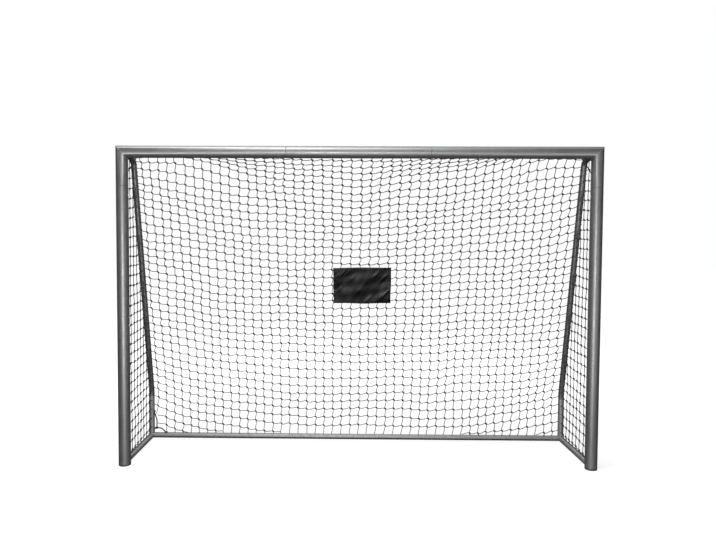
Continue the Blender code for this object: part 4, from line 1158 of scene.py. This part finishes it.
def long_strand(points, radius, sides=6, up=(0.3, 0.2, 0.93)):
    line = np.array([tuple(point) for point in points])[None]
    return lay_strands(line, np.full(line.shape[:2], radius), np.array([up], float), sides)


def brace_lacing(sign):
    """A helix of slightly uneven turns round the brace, from its top bend down to the upright."""
    line, length = even_line(brace_line(sign * POST_X), 600)
    steps = LACE_TURNS * STEPS_PER_TURN
    along = LACE_TOP + (length - LACE_TOP - LACE_END) * np.linspace(0, 1, steps + 1)
    at = np.stack([np.interp(along, np.linspace(0, length, 601), part) for part in line.T], axis=1)
    across = np.tile([1.0, 0, 0], (len(at), 1))
    beside = np.cross(unit(np.gradient(at, axis=0)), across)
    wobble = 0.35 * np.sin(np.linspace(0, 23 * math.pi, steps + 1))
    angle = np.linspace(0, 2 * math.pi * LACE_TURNS, steps + 1) * sign + wobble
    radius = SIDE_RADIUS + LACE_RADIUS
    points = at + radius * (across * np.cos(angle)[:, None] + beside * np.sin(angle)[:, None])
    return long_strand(points, LACE_RADIUS, 5, (0.2, 0.9, 0.3))


def loop_round_bar(foot_y, sign):
    """Twine from the side bar's top down its outer side, a little more than a third of a turn."""
    centre, onward = Vector((sign * POST_X, foot_y, SIDE_RADIUS)), ALONG_Y * 0.004
    beside, radius = onward.cross(ALONG_Z).normalized(), SIDE_RADIUS + LACE_RADIUS
    ring = []
    for share in (i / 9 for i in range(10)):
        angle = 2 * math.pi * 0.38 * sign * share
        ring.append(centre + onward * share + ALONG_Z * radius * math.cos(angle)
                    + beside * radius * math.sin(angle))
    return long_strand(ring, LACE_RADIUS, 5, (0.05, 1.03, 0.05))


for side, sign in SIDES:
    twine_piece(f"brace_lacing_{side}", [brace_lacing(sign)], NET_TWINE)
    loops = [loop_round_bar(foot[1], sign) for foot in side_feet[side]]
    twine_piece(f"side_bar_lacing_{side}", loops, NET_TWINE)

# The border cord: 6 mm laid cord that edges the net behind the crossbar and down both posts. It hangs in
# the hooks and ends in a knot at each foot. The bottom cord lies behind the rear bar.
CORD_MATERIAL = twine_material("laid_cord", (0.006, 0.006, 0.006), (0.022, 0.022, 0.023), 120.0, 0.0012)
CORD_FOOT_Z, CORD_SIDES = 0.06, 10
CORD_CORNER_DROP, CORD_CORNER_INSET, CORD_BEND = 0.15, 0.09, 0.09
END_KNOT_RADIUS, END_KNOT_DROP = 0.0075, 0.004
KNOT_TURNS = 3
BOTTOM_CORD_RADIUS = 0.002
one_side = [(POST_X, CORD_FOOT_Z), (POST_X, CORD_Z - CORD_CORNER_DROP), (POST_X - CORD_CORNER_INSET, CORD_Z)]
cord_run = [(-x, CORD_Y, z) for x, z in one_side] + [(x, CORD_Y, z) for x, z in one_side[::-1]]
cord_fine, cord_length = even_line(rounded_path(cord_run, [CORD_BEND] * 4, 8), 240)
border_strand = long_strand(cord_fine, CORD_RADIUS, CORD_SIDES, (0, 1, 0))
border = twine_piece("net_border_cord", [border_strand], CORD_MATERIAL)
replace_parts(border, "border_cord")


def cord_knot(name, centre, radius):
    """A stopper knot: three turns of the cord drawn tight into a ball."""
    parts = []
    for k in range(KNOT_TURNS):
        tilt = Matrix.Rotation(0.9 * k + 0.3, 3, "Y") @ Matrix.Rotation(0.7 * k, 3, "X")
        ring = [centre + tilt @ Vector((radius * 0.55 * math.cos(a), radius * 0.55 * math.sin(a), 0))
                for a in np.linspace(0, 2 * math.pi * 0.98, 17)]
        parts.append(long_strand(ring, radius * 0.5, 7, tuple(tilt @ ALONG_Z)))
    return twine_piece(name, parts, CORD_MATERIAL)


end_knots = [cord_knot(f"cord_end_knot_{side}", Vector((sign * POST_X, CORD_Y, CORD_FOOT_Z - END_KNOT_DROP)),
                       END_KNOT_RADIUS) for side, sign in SIDES]
bottom_y = REAR_Y + SIDE_RADIUS + GAP + BOTTOM_CORD_RADIUS
bottom_line = [(x, bottom_y + 0.0006 * math.sin(9 * x), 0.0165 + 0.0015 * math.sin(4.3 * x + 1))
               for x in np.linspace(-NET_EDGE_X + 0.02, NET_EDGE_X - 0.02, 160)]
bottom_strand = long_strand(bottom_line, BOTTOM_CORD_RADIUS, 8, (0, 0, 1))
twine_piece("net_bottom_cord", [bottom_strand], CORD_MATERIAL)

# The tie cord at the left rear corner: 7 mm cord from the upright to a knot and on to the rear bar, with
# a short tail back to the upright. It pulls the net's corner tight.
TIE_SEAT_RADIUS, TIE_RADIUS = 0.0035, 0.0043  # the cord where it is pressed against a tube, and free
TIE_TOP_Z, TIE_BEND_Z, TIE_TAIL_Z = 0.19, 0.1325, 0.0665
TIE_REACH = 0.105  # from the corner's centre line to where the cord meets the rear bar
TIE_WRAP = 1.9  # radians that an end is led round its tube
TIE_KNOT_RADIUS = 0.0095
corner_point = Vector((-POST_X, REAR_Y - TIE_FRONT, 0))
beside_tube = math.sqrt((SIDE_RADIUS + GAP + TIE_SEAT_RADIUS) ** 2 - TIE_FRONT**2)
knot_place = corner_point + Vector((2 * SIDE_RADIUS, 0, TIE_KNOT_Z))
upper_end, tail_end = (corner_point + Vector((beside_tube, 0, z)) for z in (TIE_TOP_Z, TIE_TAIL_Z))
bar_end = corner_point + Vector((TIE_REACH, 0, SIDE_RADIUS + beside_tube))


def wrapped(end, centre, axis, turn):
    """The cord's end led round the tube behind it."""
    return [centre + Matrix.Rotation(turn * i / 8, 3, axis) @ (end - centre) for i in range(1, 9)]


def wrapped_on_upright(end):
    return wrapped(end, Vector((-POST_X, REAR_Y, end.z)), "Z", TIE_WRAP)[::-1]


def tie_piece(name, path, up):
    return twine_piece(name, [long_strand(path, TIE_RADIUS, CORD_SIDES, up)], CORD_MATERIAL)


run = [upper_end, Vector((knot_place.x, knot_place.y, TIE_BEND_Z)), knot_place,
       Vector(((knot_place.x + bar_end.x) / 2, knot_place.y, knot_place.z - TIE_SEAT_RADIUS)), bar_end]
tie_path = wrapped_on_upright(upper_end) + rounded_path(run, (0.02, 0.006, 0.02), 8)
tie_path += wrapped(bar_end, Vector((bar_end.x, REAR_Y, SIDE_RADIUS)), "X", -TIE_WRAP)
tie_fine, tie_length = even_line(tie_path, 90)
tie = tie_piece("corner_tie_cord", tie_fine, (0.1, 1, 0.2))
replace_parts(tie, "tie_cord")
tail_fine, _ = even_line([*wrapped_on_upright(tail_end), tail_end, knot_place], 24)
tail = tie_piece("tie_tail", tail_fine, (0.1, 0.3, 1))
tie_knot = cord_knot("tie_knot", knot_place, TIE_KNOT_RADIUS)

# The label: black woven satin, hemmed all round and left bare, stitched by its edges to the front of the
# back net. It hangs in soft wrinkles.
LABEL_WIDTH, LABEL_HEIGHT = 0.39, 0.252
LABEL_X = 0.036
LABEL_DOWN = 0.897
LABEL_COLUMNS, LABEL_ROWS = 78, 48
LABEL_THICKNESS, LABEL_STANDOFF = 0.0008, 0.0065
WARP_PER_METRE, WEFT_PER_METRE = 900, 700


def label_satin():
    material, tree, shader = new_material("label_satin")
    uv = tree.nodes.new("ShaderNodeTexCoord").outputs["UV"]
    split = tree.nodes.new("ShaderNodeSeparateXYZ")
    tree.links.new(uv, split.inputs[0])
    warp, weft = (
        math_node(tree, "SINE", math_node(tree, "MULTIPLY", split.outputs[axis], 2 * math.pi * count))
        for axis, count in (("X", WARP_PER_METRE), ("Y", WEFT_PER_METRE)))
    weave = math_node(tree, "MULTIPLY_ADD", math_node(tree, "MULTIPLY", warp, weft), 0.5, 0.5)
    cloud = noise_node(tree, uv, 14.0, 4.0)
    # Painted shade: the colour is darker in the weave's hollows, where the bump's height is low.
    colour = mix_colours(tree, weave, (0.002, 0.002, 0.0021), (0.004, 0.004, 0.0042))
    colour = mix_colours(tree, ramp_value(tree, cloud, 0.45, 0.8, 0.0, 0.5), colour, (0.008, 0.008, 0.0083))
    tree.links.new(colour, shader.inputs["Base Color"])
    tree.links.new(ramp_value(tree, cloud, 0.3, 0.7, 0.3, 0.4), shader.inputs["Roughness"])
    shader.inputs["Specular IOR Level"].default_value = 0.24
    bump(tree, shader, weave, 0.25, 0.0002)
    return material


# Creases that the stitches pull into the cloth: middle (u, v), half length, width and height in metres.
LABEL_CREASES = (
    (0.07, 0.22, 0.035, 0.007, 0.0022), (0.16, 0.16, 0.045, 0.006, 0.0026), (0.25, 0.13, 0.04, 0.007, 0.002),
    (0.33, 0.3, 0.03, 0.008, 0.0012), (0.74, 0.2, 0.035, 0.009, 0.0018), (0.87, 0.3, 0.04, 0.008, 0.002),
    (0.8, 0.85, 0.05, 0.008, 0.0024), (0.91, 0.74, 0.05, 0.007, 0.0028), (0.6, 0.9, 0.04, 0.009, 0.0012),
    (0.1, 0.62, 0.03, 0.008, 0.0012), (0.42, 0.68, 0.035, 0.012, 0.001), (0.55, 0.42, 0.04, 0.012, 0.0008),
)
CREASE_SLANT = math.radians(48)
CREASE_GAIN = 1.8
PUCKER, PUCKER_WIDTH = 0.0006, 0.012


def label_point(u, v):
    """A point of the cloth: u and v run from 0 to 1 across and down, with the wrinkles added."""
    uneven = 0.0035 * math.exp(-(u / 0.16) ** 2) * (1 - v) + 0.0012 * math.sin(7 * u + 1) * (1 - v)
    uneven += v * (0.0025 * math.sin(math.pi * u) + 0.0014 * math.sin(11 * u + 2))
    x = LABEL_X + LABEL_WIDTH * (u - 0.5) + 0.0035 * v * (1 - u) ** 2 + 0.001 * math.sin(9 * v + 4 * u)
    down = (LABEL_DOWN + LABEL_HEIGHT * (v - 0.5) + uneven) / MIDDLE_LENGTH
    across = np.array([x / NET_EDGE_X])
    here = net_surface(across, np.array([down]))[0]
    below = net_surface(across, np.array([down + 0.05]))[0]
    slope = below - here
    inward = np.array([0.0, slope[2], -slope[1]]) / np.hypot(slope[1], slope[2])
    free = math.sin(math.pi * min(max(v, 0), 1)) ** 0.5
    folds = 0.0018 * math.sin(9.5 * u + 5.5 * v + 0.8) + 0.0008 * math.sin(21 * u - 6 * v + 2.0)
    folds += 0.0007 * math.sin(4 * u + 19 * v) + 0.0004 * math.sin(37 * u + 9 * v + 1.3)
    for crease_u, crease_v, half_length, width, height in LABEL_CREASES:
        right, up = (u - crease_u) * LABEL_WIDTH, (crease_v - v) * LABEL_HEIGHT
        along = right * math.cos(CREASE_SLANT) + up * math.sin(CREASE_SLANT)
        aside = up * math.cos(CREASE_SLANT) - right * math.sin(CREASE_SLANT)
        folds += CREASE_GAIN * height * math.exp(-((along / half_length) ** 2) - (aside / width) ** 2)
    from_side, from_end = min(u, 1 - u) * LABEL_WIDTH, min(v, 1 - v) * LABEL_HEIGHT
    pucker = PUCKER * math.sin(95 * u) * math.exp(-from_end / PUCKER_WIDTH)
    pucker += PUCKER * math.sin(60 * v) * math.exp(-from_side / PUCKER_WIDTH)
    lift = LABEL_STANDOFF + folds * (0.35 + 0.65 * free) + pucker
    return Vector(here + inward * lift)


bm = bmesh.new()
grid = [[bm.verts.new(label_point(i / LABEL_COLUMNS, j / LABEL_ROWS)) for i in range(LABEL_COLUMNS + 1)]
        for j in range(LABEL_ROWS + 1)]
uv_layer = bm.loops.layers.uv.new("cloth")
for j in range(LABEL_ROWS):
    for i in range(LABEL_COLUMNS):
        face = bm.faces.new((grid[j][i], grid[j + 1][i], grid[j + 1][i + 1], grid[j][i + 1]))
        for loop, (a, b) in zip(face.loops, ((i, j), (i, j + 1), (i + 1, j + 1), (i + 1, j))):
            loop[uv_layer].uv = (a / LABEL_COLUMNS * LABEL_WIDTH, b / LABEL_ROWS * LABEL_HEIGHT)
bmesh.ops.recalc_face_normals(bm, faces=bm.faces)
cloth = piece("label_cloth", bm, label_satin(), smooth_angle=80)
thickness = cloth.modifiers.new("thickness", "SOLIDIFY")
thickness.thickness, thickness.offset = LABEL_THICKNESS, 0
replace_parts(cloth, "label")
HEM_THREAD = twine_material("hem_thread", (0.008, 0.008, 0.008), (0.03, 0.03, 0.031), 500.0, 0.0004)
HEM_RADIUS, HEM_STEPS = 0.0012, 40
STITCH_RADIUS = 0.0007
# One stitch, from the cloth's front round a twine of the net behind it and back.
STITCH = ((0.0, -0.002, 0.003), (0.001, 0.003, 0.002), (0.001, 0.009, -0.001), (0.0, 0.003, -0.004),
          (-0.001, -0.002, -0.002))
STITCHED_EDGES = (0.0, 1.0)
corners = ((0, 0), (1, 0), (1, 1), (0, 1), (0, 0))
hem = [label_point(u + (next_u - u) * k / HEM_STEPS, v + (next_v - v) * k / HEM_STEPS)
       for (u, v), (next_u, next_v) in zip(corners, corners[1:]) for k in range(HEM_STEPS)]
hem_strand = long_strand([*hem, hem[0]], HEM_RADIUS, 6, (0, 1, 0.1))
hem_piece = twine_piece("label_hem", [hem_strand], HEM_THREAD)
stitched = [(k / 8, edge) for k in range(9) for edge in STITCHED_EDGES]
stitched += [(edge, k / 5) for k in range(1, 5) for edge in STITCHED_EDGES]
stitches = [long_strand([label_point(u, v) + Vector(step) for step in STITCH], STITCH_RADIUS, 5, (1, 0, 0))
            for u, v in stitched]
stitch_piece = twine_piece("label_stitches", stitches, HEM_THREAD)
